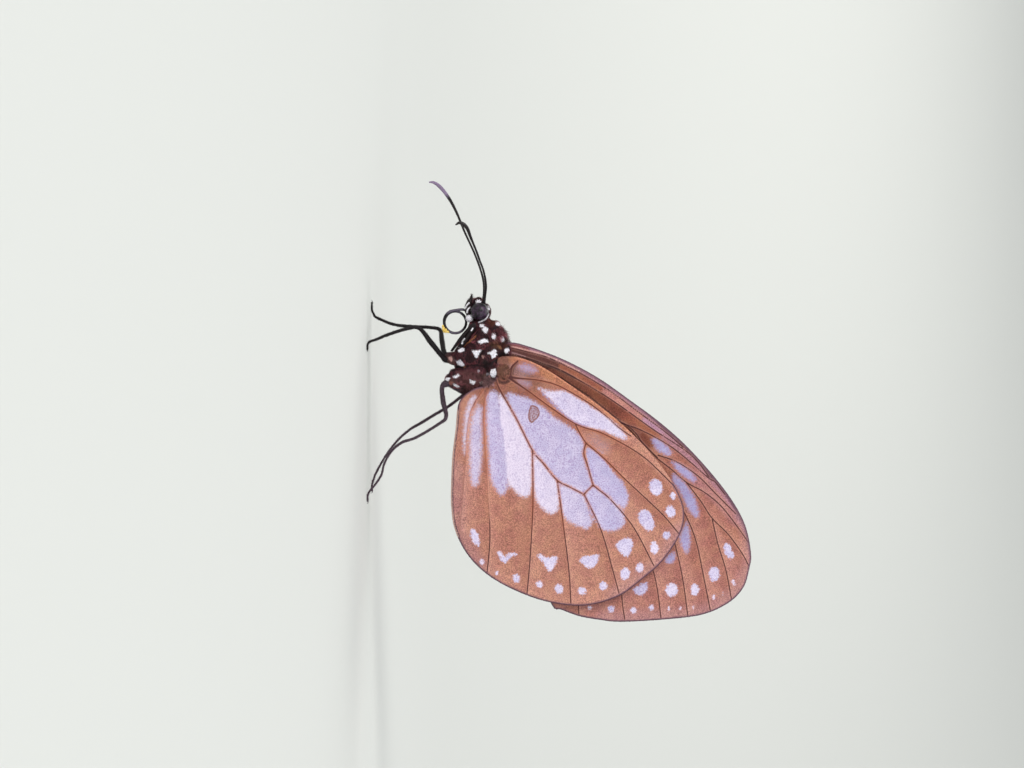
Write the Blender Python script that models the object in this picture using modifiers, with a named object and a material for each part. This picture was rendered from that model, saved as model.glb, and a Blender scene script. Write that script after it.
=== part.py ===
"""A tiger butterfly of the genus Parantica, life size, standing with its wings closed over its back.

Metres, +Z up. The butterfly stands on its four walking legs on the floor at z = 0. Its head points
towards -X, its back towards +Z, and its left side faces -Y. The origin is on the floor, under the
middle of its box.

The side view was measured in the units of a picture, as (column, row): columns run up from the
floor and rows run from head to tail. UNIT turns them into metres.
"""
import math

import bmesh
import bpy
from mathutils import Matrix, Vector, geometry

MM = 0.001

# Driving dimensions
FOREWING_LENGTH = 41.2 * MM
GAP = 0.3 * MM
MIDPLANE_Y = 3.75 * MM

# The side view's own units
FOREWING_IN_VIEW = 309.0
UNIT = FOREWING_LENGTH / FOREWING_IN_VIEW
FLOOR_COLUMN = 368.0
MIDDLE_ROW = 400.0

# Wings
MEMBRANE = 0.5 * MM
VEIN_THICKNESS = 0.8 * MM
VEIN_HALF_WIDTH = 0.3 * MM
FOREWING_REST = 0.62 * MM
FOREWING_FLARE = 1.03 * MM
HINDWING_REST = 1.80 * MM
HINDWING_FLARE = 0.95 * MM
ABDOMEN_FLARE = 0.40 * MM
FLARE_REACH = 6.0 * MM
WING_BOW = 0.6 * MM
EDGE_STEP = 1.5 * MM
VEIN_STEP = 2.1 * MM
FILL_STEP = 3.0 * MM

# Head
HEAD_PLACE = (480.3, 310.8)
HEAD_RADII = (1.35 * MM, 1.60 * MM, 1.45 * MM)
EYE_PLACE = (479.4, 311.4)
EYE_RADII = (1.20 * MM, 1.12 * MM, 1.22 * MM)
EYE_SIDE = 1.30 * MM

# Coiled proboscis
COIL_CENTRE = (455.3, 321.5)
COIL_RADIUS = 1.41 * MM
COIL_PITCH = 0.80 * MM
COIL_TURNS = 1.15
COIL_THICKNESS = 0.5 * MM

LIMB_STEP = 0.8 * MM

# Body sections: row, column of the back, column of the belly, half width in millimetres
THORAX = [
    (319, 488, 473, 1.0), (322, 499, 469, 1.9), (328, 504, 467, 2.4), (337, 509, 462, 2.75),
    (347, 511.5, 456, 3.05), (357, 513, 452, 3.1), (367, 512, 454, 3.0), (377, 508, 455, 2.6),
    (386, 499, 457, 2.1), (393, 489, 461, 1.5), (396, 483, 465, 0.9)]
ABDOMEN = [
    (397, 478, 465, 0.6), (401, 481, 461, 1.15), (412, 482, 458, 1.45), (430, 481, 457, 1.5),
    (460, 479, 455, 1.45), (490, 475, 454, 1.25), (510, 471, 455, 0.9), (519, 467, 457, 0.5)]
ABDOMEN_SEGMENTS = 8
ABDOMEN_RING_DEPTH = 0.07 * MM

# Lobes of the thorax that carry the wings and the walking legs: column, row, side and radii in
# millimetres
THORAX_LOBES = [
    (506, 352, 1.75, (1.25, 0.75, 0.8)),
    (499.5, 370, 2.45, (1.15, 0.7, 1.4)),
    (452, 358.5, 1.30, (0.85, 0.9, 1.1)),
    (455.5, 374.5, 1.20, (0.9, 0.85, 0.9)),
    (454, 380, 1.20, (1.1, 0.9, 1.35))]

HINDWING_OUTLINE = [
    (498, 358), (513, 356), (531, 361), (554, 373.5), (601, 406.7), (632, 433), (657, 460),
    (675.5, 486.5), (684.5, 510), (681, 533), (664, 560), (642, 580), (618, 597), (585, 606), (551, 603),
    (520, 593), (490, 577), (468, 556), (456, 530), (452, 498), (452, 465), (456, 430), (459, 402),
    (472, 389), (487, 384), (496, 375)]
HINDWING_VEINS = {
    "humeral": [(510, 376), (512, 367), (518, 361)],
    "subcosta": [(500, 369), (511, 374), (538, 379), (571, 395), (603, 418), (644, 450), (673, 479)],
    "radial": [(500, 370), (511, 378), (542, 399), (577, 427), (603, 433), (636, 450), (664, 473),
               (684, 505)],
    "media_1": [(577, 427), (587, 444), (613, 471), (654, 510), (679, 534)],
    "cross_upper": [(587, 444), (586, 461), (593, 485)],
    "media_2": [(593, 485), (613, 499), (634, 528), (655, 570)],
    "cross_lower": [(593, 485), (584, 494)],
    "media_3": [(584, 494), (601, 530), (613, 571), (620, 597)],
    "cell_lower": [(495, 374), (499, 388), (516, 418), (533, 451), (546, 467), (571, 488), (584, 494)],
    "cubitus_1": [(558, 481), (563, 522), (569, 571), (571, 605)],
    "cubitus_2": [(533, 451), (533, 503), (527, 594)],
    "anal_2": [(492, 378), (484, 410), (487, 473), (490, 534), (487, 574)],
    "anal_3": [(490, 380), (470, 415), (465, 473), (460, 535)]}

FOREWING_OUTLINE = [
    (503, 346), (512, 342), (530, 346.3), (556, 355.6), (580, 366.9), (604, 380.9), (630, 399.5),
    (657.6, 419.6), (684.4, 443), (711.6, 472.3), (733.6, 501), (746.8, 526.5), (752.6, 554),
    (750.6, 569.5), (744.6, 588.5), (729.6, 604), (702.5, 616), (661.6, 621), (620.3, 623),
    (600, 621), (580, 617.5), (562, 611), (551, 605),
    (538, 560), (524, 500), (512, 430), (506, 385), (503, 366)]
FOREWING_VEINS = {
    "subcosta": [(506, 347), (525.6, 351.3), (550.3, 358.5), (580, 373), (610, 391), (641, 414),
                 (664, 431), (683, 447)],
    "radius_1": [(506, 353), (527, 358.5), (553, 367.5), (580, 380.6), (611.6, 399.9), (629, 412),
                 (654, 430), (684, 449.6), (699, 463), (716, 484)],
    "cell_upper": [(506, 355), (541, 374), (575, 396), (612, 421), (640, 443), (658, 459)],
    "radius_2": [(620, 423), (641, 430), (670, 446), (692, 464), (713, 481)],
    "radius_3": [(658, 455), (677, 462), (698, 476), (717, 495), (736, 514)],
    "radius_4": [(658, 459), (671, 469), (686, 482), (704, 492), (720, 505), (734, 522), (749, 543)],
    "radius_5": [(686, 482), (700, 500), (712, 518), (728, 534), (742, 553), (749, 566)],
    "media_1": [(712, 518), (718, 544), (726, 570), (732, 601)],
    "cell_end": [(658, 459), (668, 480), (664, 500), (648, 508), (636, 520)],
    "media_2": [(668, 484), (685, 514), (696, 541), (704, 578), (711, 613)],
    "media_3": [(664, 500), (676, 548), (683, 580), (688, 616)],
    "cubitus_1": [(636, 520), (650, 560), (657, 587), (661, 618)],
    "cell_lower": [(506, 358), (541, 396), (580, 440), (612, 480), (636, 520)],
    "cubitus_2": [(612, 480), (620, 550), (622, 598), (625, 621)],
    "cubitus_3": [(570, 428), (575, 540), (579, 616)],
    "anal_2": [(506, 364), (514, 430), (530, 510), (553, 602)]}

# Limbs: column, row, side of the mid-plane and radius in millimetres
MIDLEG_LEFT = [
    (456, 358, -1.0, 0.8), (446, 359, -1.4, 0.62), (442, 356, -1.7, 0.42), (431.5, 343, -2.9, 0.4),
    (420, 328.8, -4.0, 0.33), (408, 329, -4.3, 0.27), (389, 335, -4.9, 0.25),
    (377, 340, -5.3, 0.25), (371.5, 342, -5.6, 0.25), (369.2, 345, -6.0, 0.25),
    (369.2, 350, -6.5, 0.22)]
MIDLEG_RIGHT = [
    (455.6, 355.8, 1.0, 0.8), (446.4, 355.7, 1.6, 0.62), (443.3, 351.7, 2.1, 0.42),
    (440.9, 340.3, 4.0, 0.4), (438.5, 328.9, 5.8, 0.33), (428.3, 326.3, 5.9, 0.27),
    (415, 325.6, 6.0, 0.25), (392.6, 323.5, 5.8, 0.25), (374.3, 316.4, 5.6, 0.25),
    (371, 312.5, 5.5, 0.25), (369.2, 308, 5.5, 0.25), (369.2, 300.5, 5.5, 0.24)]
HINDLEG_LEFT = [
    (456, 380, -0.9, 0.8), (446, 383.5, -1.4, 0.62), (442, 388, -1.8, 0.42),
    (443.5, 402, -3.2, 0.4), (446.5, 416.6, -4.4, 0.33), (439.5, 423.5, -4.7, 0.27),
    (417, 436.9, -5.0, 0.25), (402.4, 442.2, -5.2, 0.25), (391.9, 451.4, -5.4, 0.25),
    (385.3, 463.4, -5.5, 0.25), (382.7, 473.9, -5.6, 0.25), (376.8, 483.2, -5.7, 0.25),
    (371.5, 489.5, -5.75, 0.25), (369.2, 494.5, -5.8, 0.25), (369.2, 500.5, -5.9, 0.22)]
HINDLEG_RIGHT = [
    (456, 379, 0.9, 0.8), (448, 382, 1.5, 0.62), (451, 386, 2.2, 0.42), (458.6, 390.2, 3.6, 0.4),
    (463.1, 394.2, 4.8, 0.33), (457.6, 399, 5.0, 0.27), (446.3, 407.4, 5.0, 0.25),
    (432.6, 415.6, 5.1, 0.25), (419.3, 423.7, 5.2, 0.25), (408.1, 430.3, 5.3, 0.25),
    (394.8, 442.1, 5.4, 0.25), (382.5, 458.4, 5.5, 0.25), (373.5, 474.5, 5.6, 0.25),
    (370.6, 482, 5.6, 0.25), (369.2, 487.5, 5.7, 0.25), (369.2, 493.5, 5.8, 0.22)]
FORELEG_FEMUR = [(458, 350.5, 1.5, 0.40), (465, 340, 2.2, 0.38), (472.5, 328.5, 2.45, 0.30)]
FORELEG_TIBIA = [(474, 325.5, 2.5, 0.26), (467.5, 330, 2.55, 0.27), (459.5, 340, 2.3, 0.25),
                 (451, 351, 1.85, 0.16)]

ANTENNA_LEFT = [
    (483.9, 303, -0.4, 0.28), (485.1, 294.2, -0.8, 0.26), (486, 286.6, -1.8, 0.25),
    (485.3, 278.9, -3.0, 0.25), (483.4, 270.5, -4.4, 0.25), (480.3, 262.4, -5.8, 0.25),
    (477.3, 254.2, -7.4, 0.25), (474.3, 246.9, -9.0, 0.26), (471.3, 239.8, -10.6, 0.29),
    (468.4, 232.5, -12.0, 0.33), (464.6, 228.7, -13.0, 0.34), (461, 227.8, -13.8, 0.3),
    (457.5, 230, -14.3, 0.18)]
ANTENNA_RIGHT = [
    (482.6, 303, 0.4, 0.28), (483.8, 292.3, 0.7, 0.26), (483.4, 281.8, 1.0, 0.25),
    (481.3, 272, 1.6, 0.25), (478, 262.1, 2.2, 0.25), (473.9, 251.5, 2.8, 0.25),
    (469, 240.7, 3.4, 0.25), (464.1, 230, 4.0, 0.25), (460, 220.1, 4.5, 0.26),
    (455.9, 210.1, 5.0, 0.28), (450.1, 198.5, 5.5, 0.31), (443.5, 188.5, 6.0, 0.34),
    (437.7, 181.9, 6.3, 0.34), (432.1, 178.1, 6.5, 0.3), (427.1, 177.6, 6.6, 0.18)]
PALP = [
    (473, 318, 0.80, 0.30), (467.5, 315, 0.88, 0.36), (466.2, 309, 0.88, 0.38),
    (467.5, 302, 0.80, 0.32), (471.3, 294, 0.66, 0.14)]
PROBOSCIS_ROOT = [(470, 312), (464.5, 309.6), (460, 309.9)]

# Colours as red, green, blue and roughness
BODY_LOOK = (0.075, 0.03, 0.026, 0.75)
EYE_LOOK = (0.05, 0.03, 0.045, 0.25)
WING_LOOK = (0.47, 0.19, 0.11, 0.6)
LEG_LOOK = (0.04, 0.028, 0.035, 0.5)


def clear_scene():
    for item in list(bpy.data.objects):
        bpy.data.objects.remove(item)


def collection(name):
    found = bpy.data.collections.new(name)
    bpy.context.scene.collection.children.link(found)
    return found


def material(name, look):
    made = bpy.data.materials.new(name)
    made.use_nodes = True
    shader = made.node_tree.nodes["Principled BSDF"]
    shader.inputs["Base Color"].default_value = (*look[:3], 1.0)
    shader.inputs["Roughness"].default_value = look[3]
    return made


def flat(column, row):
    """A point of the side view in metres, as (x, z)."""
    return Vector(((row - MIDDLE_ROW) * UNIT, (column - FLOOR_COLUMN) * UNIT))


def lift(point, side):
    """A point of the side view stood side metres to the right of the mid-plane."""
    return Vector((point.x, MIDPLANE_Y + side, point.y))


def smooth(points, step, closed=False):
    """Points about step apart on a smooth curve through the given ones."""
    count = len(points)
    result = []
    for index in range(count if closed else count - 1):
        start = points[index]
        end = points[(index + 1) % count]
        before = points[index - 1] if closed or index else start * 2 - end
        after = points[(index + 2) % count] if closed or index + 2 < count else end * 2 - start
        steps = max(1, round((end - start).length / step))
        for number in range(steps):
            t = number / steps
            bend = (before * 2 - start * 5 + end * 4 - after) * t ** 2
            twist = (start * 3 - before - end * 3 + after) * t ** 3
            result.append((start * 2 + (end - before) * t + bend + twist) / 2)
    if not closed:
        result.append(points[-1].copy())
    return result


def new_object(name, mesh, group, look):
    made = bpy.data.objects.new(name, mesh)
    group.objects.link(made)
    made.data.materials.clear()
    if look:
        made.data.materials.append(look)
    return made


def settle(item):
    """Give an object its evaluated mesh, with its modifiers applied."""
    bpy.context.view_layer.update()
    depsgraph = bpy.context.evaluated_depsgraph_get()
    mesh = bpy.data.meshes.new_from_object(item.evaluated_get(depsgraph))
    item.modifiers.clear()
    item.data = mesh


def keep_largest(item):
    """Keep only the closed surface with the most faces."""
    work = bmesh.new()
    work.from_mesh(item.data)
    waiting = set(work.verts)
    islands = []
    while waiting:
        stack = [waiting.pop()]
        island = set(stack)
        while stack:
            for edge in stack.pop().link_edges:
                for vertex in edge.verts:
                    if vertex in waiting:
                        waiting.remove(vertex)
                        island.add(vertex)
                        stack.append(vertex)
        islands.append(island)
    largest = max(islands, key=len)
    loose = [vertex for vertex in work.verts if vertex not in largest]
    bmesh.ops.delete(work, geom=loose, context="VERTS")
    bmesh.ops.triangulate(work, faces=work.faces)
    work.to_mesh(item.data)
    work.free()


def boolean(item, tools, operation):
    for tool in tools:
        change = item.modifiers.new(operation.lower(), "BOOLEAN")
        change.operation = operation
        change.object = tool
    settle(item)
    keep_largest(item)


def set_origin(item, point):
    """Put an object's origin at a point of the model, with its shape left in place."""
    item.data.transform(Matrix.Translation(-point))
    item.location = point


def ellipsoid(name, centre, radii, group, look=None, sides=18):
    work = bmesh.new()
    place = Matrix.Translation(centre) @ Matrix.Diagonal((*radii, 1.0))
    bmesh.ops.create_uvsphere(work, u_segments=sides, v_segments=sides * 3 // 5, radius=1.0, matrix=place)
    mesh = bpy.data.meshes.new(name)
    work.to_mesh(mesh)
    work.free()
    mesh.shade_smooth()
    return new_object(name, mesh, group, look)


def loft(name, sections, sides, group, look=None, ring_depth=0.0, rings=0):
    """A closed body through (x, z of its middle, half height, half width) sections along X."""
    work = bmesh.new()
    hoops = []
    start, end = sections[0][0], sections[-1][0]
    for x, z, half_height, half_width in sections:
        wave = math.sin(math.pi * rings * (x - start) / (end - start)) if rings else 1.0
        dent = ring_depth * (1.0 - abs(wave)) ** 2
        hoop = []
        for number in range(sides):
            angle = math.tau * number / sides
            y = (half_width - dent) * math.cos(angle)
            hoop.append(work.verts.new((x, MIDPLANE_Y + y, z + (half_height - dent) * math.sin(angle))))
        hoops.append(hoop)
    for first, second in zip(hoops, hoops[1:]):
        for number in range(sides):
            following = (number + 1) % sides
            work.faces.new((first[number], first[following], second[following], second[number]))
    work.faces.new(hoops[0])
    work.faces.new(hoops[-1])
    bmesh.ops.recalc_face_normals(work, faces=work.faces)
    mesh = bpy.data.meshes.new(name)
    work.to_mesh(mesh)
    work.free()
    mesh.shade_smooth()
    return new_object(name, mesh, group, look)


def body_sections(table, step, grow):
    """Smooth sections in metres from a table of the side view, made larger all round by grow."""
    stations = []
    for row, back, belly, half_width in table:
        x, top = flat(back, row)
        bottom = flat(belly, row).y
        stations.append(Vector((x, (top + bottom) / 2, (top - bottom) / 2, half_width * MM)))
    stations = smooth(stations, step)
    for station in stations:
        station.z += grow
        station.w += grow
    stations[0].x -= grow
    stations[-1].x += grow
    return stations


def tube(name, path, radii, group, look=None):
    """A closed round tube through path, eight-sided, with its own radius at each point."""
    curve = bpy.data.curves.new(name, "CURVE")
    curve.dimensions = "3D"
    curve.bevel_depth = MM
    curve.bevel_resolution = 2
    curve.use_fill_caps = True
    spline = curve.splines.new("POLY")
    spline.points.add(len(path) - 1)
    for point, place, radius in zip(spline.points, path, radii):
        point.co = (*place, 1.0)
        point.radius = radius / MM
    drawn = bpy.data.objects.new(name + "_curve", curve)
    group.objects.link(drawn)
    bpy.context.view_layer.update()
    depsgraph = bpy.context.evaluated_depsgraph_get()
    mesh = bpy.data.meshes.new_from_object(drawn.evaluated_get(depsgraph))
    bpy.data.objects.remove(drawn)
    work = bmesh.new()
    work.from_mesh(mesh)
    bmesh.ops.remove_doubles(work, verts=work.verts, dist=1e-7)
    bmesh.ops.recalc_face_normals(work, faces=work.faces)
    work.to_mesh(mesh)
    work.free()
    return new_object(name, mesh, group, look)


def limb(name, stations, group, look=None, mirror=1.0):
    """A tapering limb through stations of (column, row, side, radius)."""
    marks = []
    for column, row, side, radius in stations:
        place = lift(flat(column, row), side * MM * mirror)
        marks.append(Vector((*place, radius * MM)))
    marks = smooth(marks, LIMB_STEP)
    return tube(name, [mark.xyz for mark in marks], [mark.w for mark in marks], group, look)


def thorax(name, group, look=None, grow=0.0):
    made = loft(name, body_sections(THORAX, 1.1 * MM, grow), 18, group, look)
    lobes = []
    for column, row, side, radii in THORAX_LOBES:
        for mirror in (-1.0, 1.0):
            centre = lift(flat(column, row), side * MM * mirror)
            sizes = [radius * MM + grow for radius in radii]
            lobes.append(ellipsoid("lobe", centre, sizes, group, sides=12))
    boolean(made, lobes, "UNION")
    for lobe in lobes:
        bpy.data.objects.remove(lobe)
    return made


def abdomen(name, group, look=None, grow=0.0):
    rings = 0 if grow else ABDOMEN_SEGMENTS
    sections = body_sections(ABDOMEN, 0.62 * MM, grow)
    return loft(name, sections, 16, group, look, ABDOMEN_RING_DEPTH, rings)


def head(name, group, look=None, grow=0.0):
    sizes = [radius + grow for radius in HEAD_RADII]
    return ellipsoid(name, lift(flat(*HEAD_PLACE), 0.0), sizes, group, look)


def eye(name, side, group, look=None, grow=0.0):
    sizes = [radius + grow for radius in EYE_RADII]
    return ellipsoid(name, lift(flat(*EYE_PLACE), EYE_SIDE * side), sizes, group, look)


def proboscis(name, group, look):
    """A tube that leaves the head, bends over and coils inwards in the mid-plane."""
    path = [lift(flat(*place), 0.0) for place in PROBOSCIS_ROOT]
    centre = flat(*COIL_CENTRE)
    steps = round(COIL_TURNS * 18)
    for number in range(steps + 1):
        turns = COIL_TURNS * number / steps
        radius = COIL_RADIUS - COIL_PITCH * turns
        angle = math.tau * turns
        along = centre + Vector((-math.cos(angle), -math.sin(angle))) * radius
        path.append(lift(along, 0.0))
    radii = [COIL_THICKNESS / 2] * len(path)
    return tube(name, path, radii, group, look)


def distance(point, line):
    """How far a point of the side view is from a line of points."""
    best = math.inf
    for start, end in zip(line, line[1:]):
        near, factor = geometry.intersect_point_line(point, start, end)
        near = start if factor < 0.0 else end if factor > 1.0 else near
        best = min(best, (point - near.xy).length)
    return best


def inside(point, ring):
    crossings = 0
    for start, end in zip(ring, ring[1:] + ring[:1]):
        if (start.y > point.y) != (end.y > point.y):
            across = start.x + (point.y - start.y) * (end.x - start.x) / (end.y - start.y)
            crossings += across > point.x
    return crossings % 2 == 1


def ease(value):
    value = min(1.0, max(0.0, value))
    return value * value * (3.0 - 2.0 * value)


def wing_side(point, rest, flare):
    """How far a wing's middle surface stands from the mid-plane over a point of the side view."""
    root_line = [flat(506, 350), flat(497, 372), flat(482, 386)]
    abdomen_line = [flat(470, 396), flat(465, 520)]
    from_root = distance(point, root_line)
    at_root = flare * (1.0 - ease(from_root / FLARE_REACH))
    at_abdomen = 0.0
    if rest == HINDWING_REST:
        from_abdomen = distance(point, abdomen_line) - 1.7 * MM
        at_abdomen = ABDOMEN_FLARE * (1.0 - ease(from_abdomen / (3.5 * MM)))
    bow = WING_BOW * math.sin(math.pi * min(1.0, from_root / FOREWING_LENGTH))
    return rest + max(at_root, at_abdomen) + bow


def wing_plan(outline, veins):
    """Points, edges and vein lines of a wing's side view."""
    rim = smooth([flat(*place) for place in outline], EDGE_STEP, closed=True)
    closed_rim = rim + rim[:1]
    lines = [smooth([flat(*place) for place in vein], VEIN_STEP) for vein in veins.values()]
    points = list(rim)
    edges = [(number, (number + 1) % len(rim)) for number in range(len(rim))]
    for line in lines:
        others = [other for other in lines if other is not line]
        for offset in (0.0, -VEIN_HALF_WIDTH, VEIN_HALF_WIDTH):
            previous = None
            for number, place in enumerate(line):
                ahead = line[min(number + 1, len(line) - 1)] - line[max(number - 1, 0)]
                spot = place + Vector((-ahead.y, ahead.x)).normalized() * offset
                free = inside(spot, rim) and distance(spot, closed_rim) > 0.45 * MM
                if offset and free:
                    free = all(distance(spot, other) > 1.1 * VEIN_HALF_WIDTH for other in others)
                if free:
                    points.append(spot)
                    if previous is not None:
                        edges.append((previous, len(points) - 1))
                previous = len(points) - 1 if free else None
    low = Vector((min(spot.x for spot in rim), min(spot.y for spot in rim)))
    high = Vector((max(spot.x for spot in rim), max(spot.y for spot in rim)))
    for across in range(int((high.x - low.x) / FILL_STEP)):
        for up in range(int((high.y - low.y) / FILL_STEP)):
            spot = low + Vector((across + 0.5 * (up % 2), up)) * FILL_STEP
            if inside(spot, rim) and distance(spot, closed_rim) > 0.9 * MM:
                if all(distance(spot, line) > 0.9 * MM for line in lines):
                    points.append(spot)
    return points, edges, lines


def wing(name, outline, veins, side, rest, flare, group, look):
    points, edges, lines = wing_plan(outline, veins)
    places, _, triangles, _, _, _ = geometry.delaunay_2d_cdt(points, edges, [], 1, 1e-7)
    mesh = bpy.data.meshes.new(name)
    corners = [lift(place, side * wing_side(place, rest, flare)) for place in places]
    mesh.from_pydata(corners, [], triangles)
    made = new_object(name, mesh, group, look)
    ridges = made.vertex_groups.new(name="ridges")
    for number, place in enumerate(places):
        near = min(distance(place, line) for line in lines)
        ridges.add([number], max(0.0, 1.0 - near / VEIN_HALF_WIDTH), "REPLACE")
    thicken = made.modifiers.new("thickness", "SOLIDIFY")
    thicken.thickness = VEIN_THICKNESS
    thicken.offset = 0.0
    thicken.vertex_group = ridges.name
    thicken.thickness_vertex_group = MEMBRANE / VEIN_THICKNESS
    settle(made)
    return made


def trim(item, cutters, origin):
    """Cut a piece clear of its neighbours and put its origin at its root."""
    boolean(item, cutters, "DIFFERENCE")
    set_origin(item, origin)
    return item


def main():
    clear_scene()
    parts = collection("parantica_melusine")
    tools = collection("cutters")
    body_look = material("dark_body", BODY_LOOK)
    eye_look = material("compound_eye", EYE_LOOK)
    wing_look = material("wing_membrane", WING_LOOK)
    leg_look = material("leg_skin", LEG_LOOK)

    wide_head = head("wide_head", tools, grow=GAP)
    wide_thorax = thorax("wide_thorax", tools, grow=GAP)
    wide_abdomen = abdomen("wide_abdomen", tools, grow=GAP)
    wide_eyes = [eye("wide_eye", side, tools, grow=GAP) for side in (-1.0, 1.0)]
    bpy.ops.mesh.primitive_cube_add(size=1.0, location=(0.0, 0.0, -0.01), scale=(0.2, 0.2, 0.02))
    ground = bpy.context.object
    body_cutters = [wide_head, wide_thorax, wide_abdomen]

    head_place = lift(flat(*HEAD_PLACE), 0.0)
    trim(head("head", parts, body_look), wide_eyes, head_place)
    for side, hand in ((-1.0, "left"), (1.0, "right")):
        eye_place = lift(flat(*EYE_PLACE), EYE_SIDE * side)
        set_origin(eye("eye_" + hand, side, parts, eye_look), eye_place)
    trim(thorax("thorax", parts, body_look), [wide_head, *wide_eyes], lift(flat(481, 357), 0.0))
    trim(abdomen("abdomen", parts, body_look), [wide_thorax], lift(flat(471, 398), 0.0))

    coil = proboscis("proboscis", parts, leg_look)
    trim(coil, [wide_head, wide_thorax], lift(flat(*PROBOSCIS_ROOT[0]), 0.0))
    for stations, mirror, hand in ((PALP, -1.0, "left"), (PALP, 1.0, "right")):
        palp = limb("palp_" + hand, stations, parts, body_look, mirror)
        trim(palp, [wide_head, wide_thorax, *wide_eyes], lift(flat(470, 317), mirror * 0.8 * MM))
    for stations, hand in ((ANTENNA_LEFT, "left"), (ANTENNA_RIGHT, "right")):
        antenna = limb("antenna_" + hand, stations, parts, leg_look)
        root = stations[0]
        trim(antenna, [wide_head, *wide_eyes], lift(flat(root[0], root[1]), root[2] * MM))

    for side, hand in ((-1.0, "left"), (1.0, "right")):
        femur = limb("foreleg_" + hand, FORELEG_FEMUR, parts, leg_look, side)
        tibia = limb("foreleg_tibia", FORELEG_TIBIA, tools, leg_look, side)
        boolean(femur, [tibia], "UNION")
        bpy.data.objects.remove(tibia)
        trim(femur, [wide_thorax], lift(flat(459, 350), side * 1.5 * MM))
    walking_legs = {
        "midleg_left": MIDLEG_LEFT, "midleg_right": MIDLEG_RIGHT,
        "hindleg_left": HINDLEG_LEFT, "hindleg_right": HINDLEG_RIGHT}
    for name, stations in walking_legs.items():
        leg = limb(name, stations, parts, leg_look)
        root = stations[0]
        trim(leg, [wide_thorax, ground], lift(flat(root[0], root[1]), root[2] * MM))

    for side, hand in ((-1.0, "left"), (1.0, "right")):
        forewing = wing("forewing_" + hand, FOREWING_OUTLINE, FOREWING_VEINS, side,
                        FOREWING_REST, FOREWING_FLARE, parts, wing_look)
        trim(forewing, body_cutters, lift(flat(506, 352), side * 1.75 * MM))
        hindwing = wing("hindwing_" + hand, HINDWING_OUTLINE, HINDWING_VEINS, side,
                        HINDWING_REST, HINDWING_FLARE, parts, wing_look)
        trim(hindwing, body_cutters, lift(flat(498, 369), side * 2.45 * MM))

    for item in list(tools.objects) + [ground]:
        bpy.data.objects.remove(item)
    bpy.data.collections.remove(tools)


main()
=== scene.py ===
"""The looks of the Parantica butterfly: scaled wings, hairy body, eyes, feelers, tongue and legs.

Lengths are in millimetres unless a name or comment says otherwise, and MM turns them into the
scene's metres. The side view is written in the units of a picture, as (column, row), as in the
part's own source: columns run up from the floor and rows run from head to tail.
"""
import math
from functools import partial

import bmesh
import bpy
import numpy as np
from mathutils import Matrix, Vector, geometry


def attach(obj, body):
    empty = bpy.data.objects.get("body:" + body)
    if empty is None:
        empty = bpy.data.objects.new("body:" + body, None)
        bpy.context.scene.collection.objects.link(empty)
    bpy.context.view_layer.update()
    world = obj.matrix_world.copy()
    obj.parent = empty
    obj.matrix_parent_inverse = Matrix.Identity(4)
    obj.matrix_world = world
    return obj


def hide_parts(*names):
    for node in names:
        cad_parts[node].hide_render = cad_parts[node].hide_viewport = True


MM = 0.001
FOREWING_LENGTH = 41.2
FOREWING_IN_VIEW = 309.0
PER_MM = FOREWING_IN_VIEW / FOREWING_LENGTH
FLOOR_COLUMN = 368.0
MIDDLE_ROW = 400.0
MIDPLANE_Y = 3.75
SIDES = ((-1.0, "left"), (1.0, "right"))
FAR = 9.0

# The camera looks along +Y with the picture's right towards +Z, as the photograph was taken
PICTURE_CENTRE = (512.0, 384.0)
PICTURE_WIDTH = 1024.0
CAMERA_DISTANCE = 379.0
SENSOR_WIDTH = 36.0
FACING_WING_Y = MIDPLANE_Y - 1.95
FLOOR_FLAT = 350.0
FLOOR_CURVE = 2000.0
FLOOR_STEPS = 128
FLOOR_GREY = (206, 208, 204)
SKY_TINT = (0.95, 0.97, 1.0, 1.0)
SKY_STRENGTH = 0.5
LAMPS_AIM = (0.0, MIDPLANE_Y, 22.0)
# Soft lights: name, place, size, power in watts, colour
LAMPS = [
    ("key", (-700, -900, 620), 600, 7.8, (1.0, 0.98, 0.95)),
    ("fill", (620, -950, 420), 800, 4.0, (0.94, 0.97, 1.0)),
    ("top", (0, 60, 2200), 1600, 18.0, (1.0, 1.0, 1.0)),
    ("back", (-320, 1050, 900), 700, 5.0, (1.0, 0.98, 0.95))]

# Wings
MEMBRANE_HALF = 0.045
VEIN_RADIUS_ROOT = 0.13
VEIN_RADIUS_TIP = 0.065
QUILTING = 0.10
FOREWING_REST = 0.62
FOREWING_FLARE = 1.03
HINDWING_REST = 1.80
HINDWING_FLARE = 0.95
ABDOMEN_FLARE = 0.40
ABDOMEN_FLARE_REACH = 3.5
ABDOMEN_HALF = 1.7
FLARE_REACH = 6.0
WING_BOW = 0.6
RIM_STEP = 0.35
RIM_INSET = 0.08
VEIN_STEP = 0.32
FILL_STEP = 0.46
ROW_SPACING = 0.866
CLEAR_OF_VEIN = 0.34
SHARES_ACROSS_VEIN = (0.0, -0.6, 0.6, -1.0, 1.0, -1.9, 1.9)
CLEAR_OF_RIM = 0.13
OVAL_POINTS = 14
NARROW_STROKE = 0.7
# How far the painted light and shade beside each vein reach, and how strong they are
PLEAT_REACH = 0.9
PLEAT_PAINTED_LIGHT = 0.42
PLEAT_PAINTED_SHADE = 0.5
WING_ROOT = (505.0, 362.0)
VEINS_JOIN = (507.0, 376.0)
# Lines that the wings bow out from: their roots, and the abdomen between the hindwings
WING_ROOTS = [(506, 350), (497, 372), (482, 386)]
ABDOMEN_LINE = [(470, 396), (465, 520)]
# Scales of the fringe for each point of the rim
FRINGE_SCALES = 4
# Where the corners of a fringe scale lie on the bake map, from its root
FRINGE_PATCH = [(-0.0012, -0.0012), (0.0012, -0.0012), (0.0, 0.0), (0.0, 0.0015)]

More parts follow.
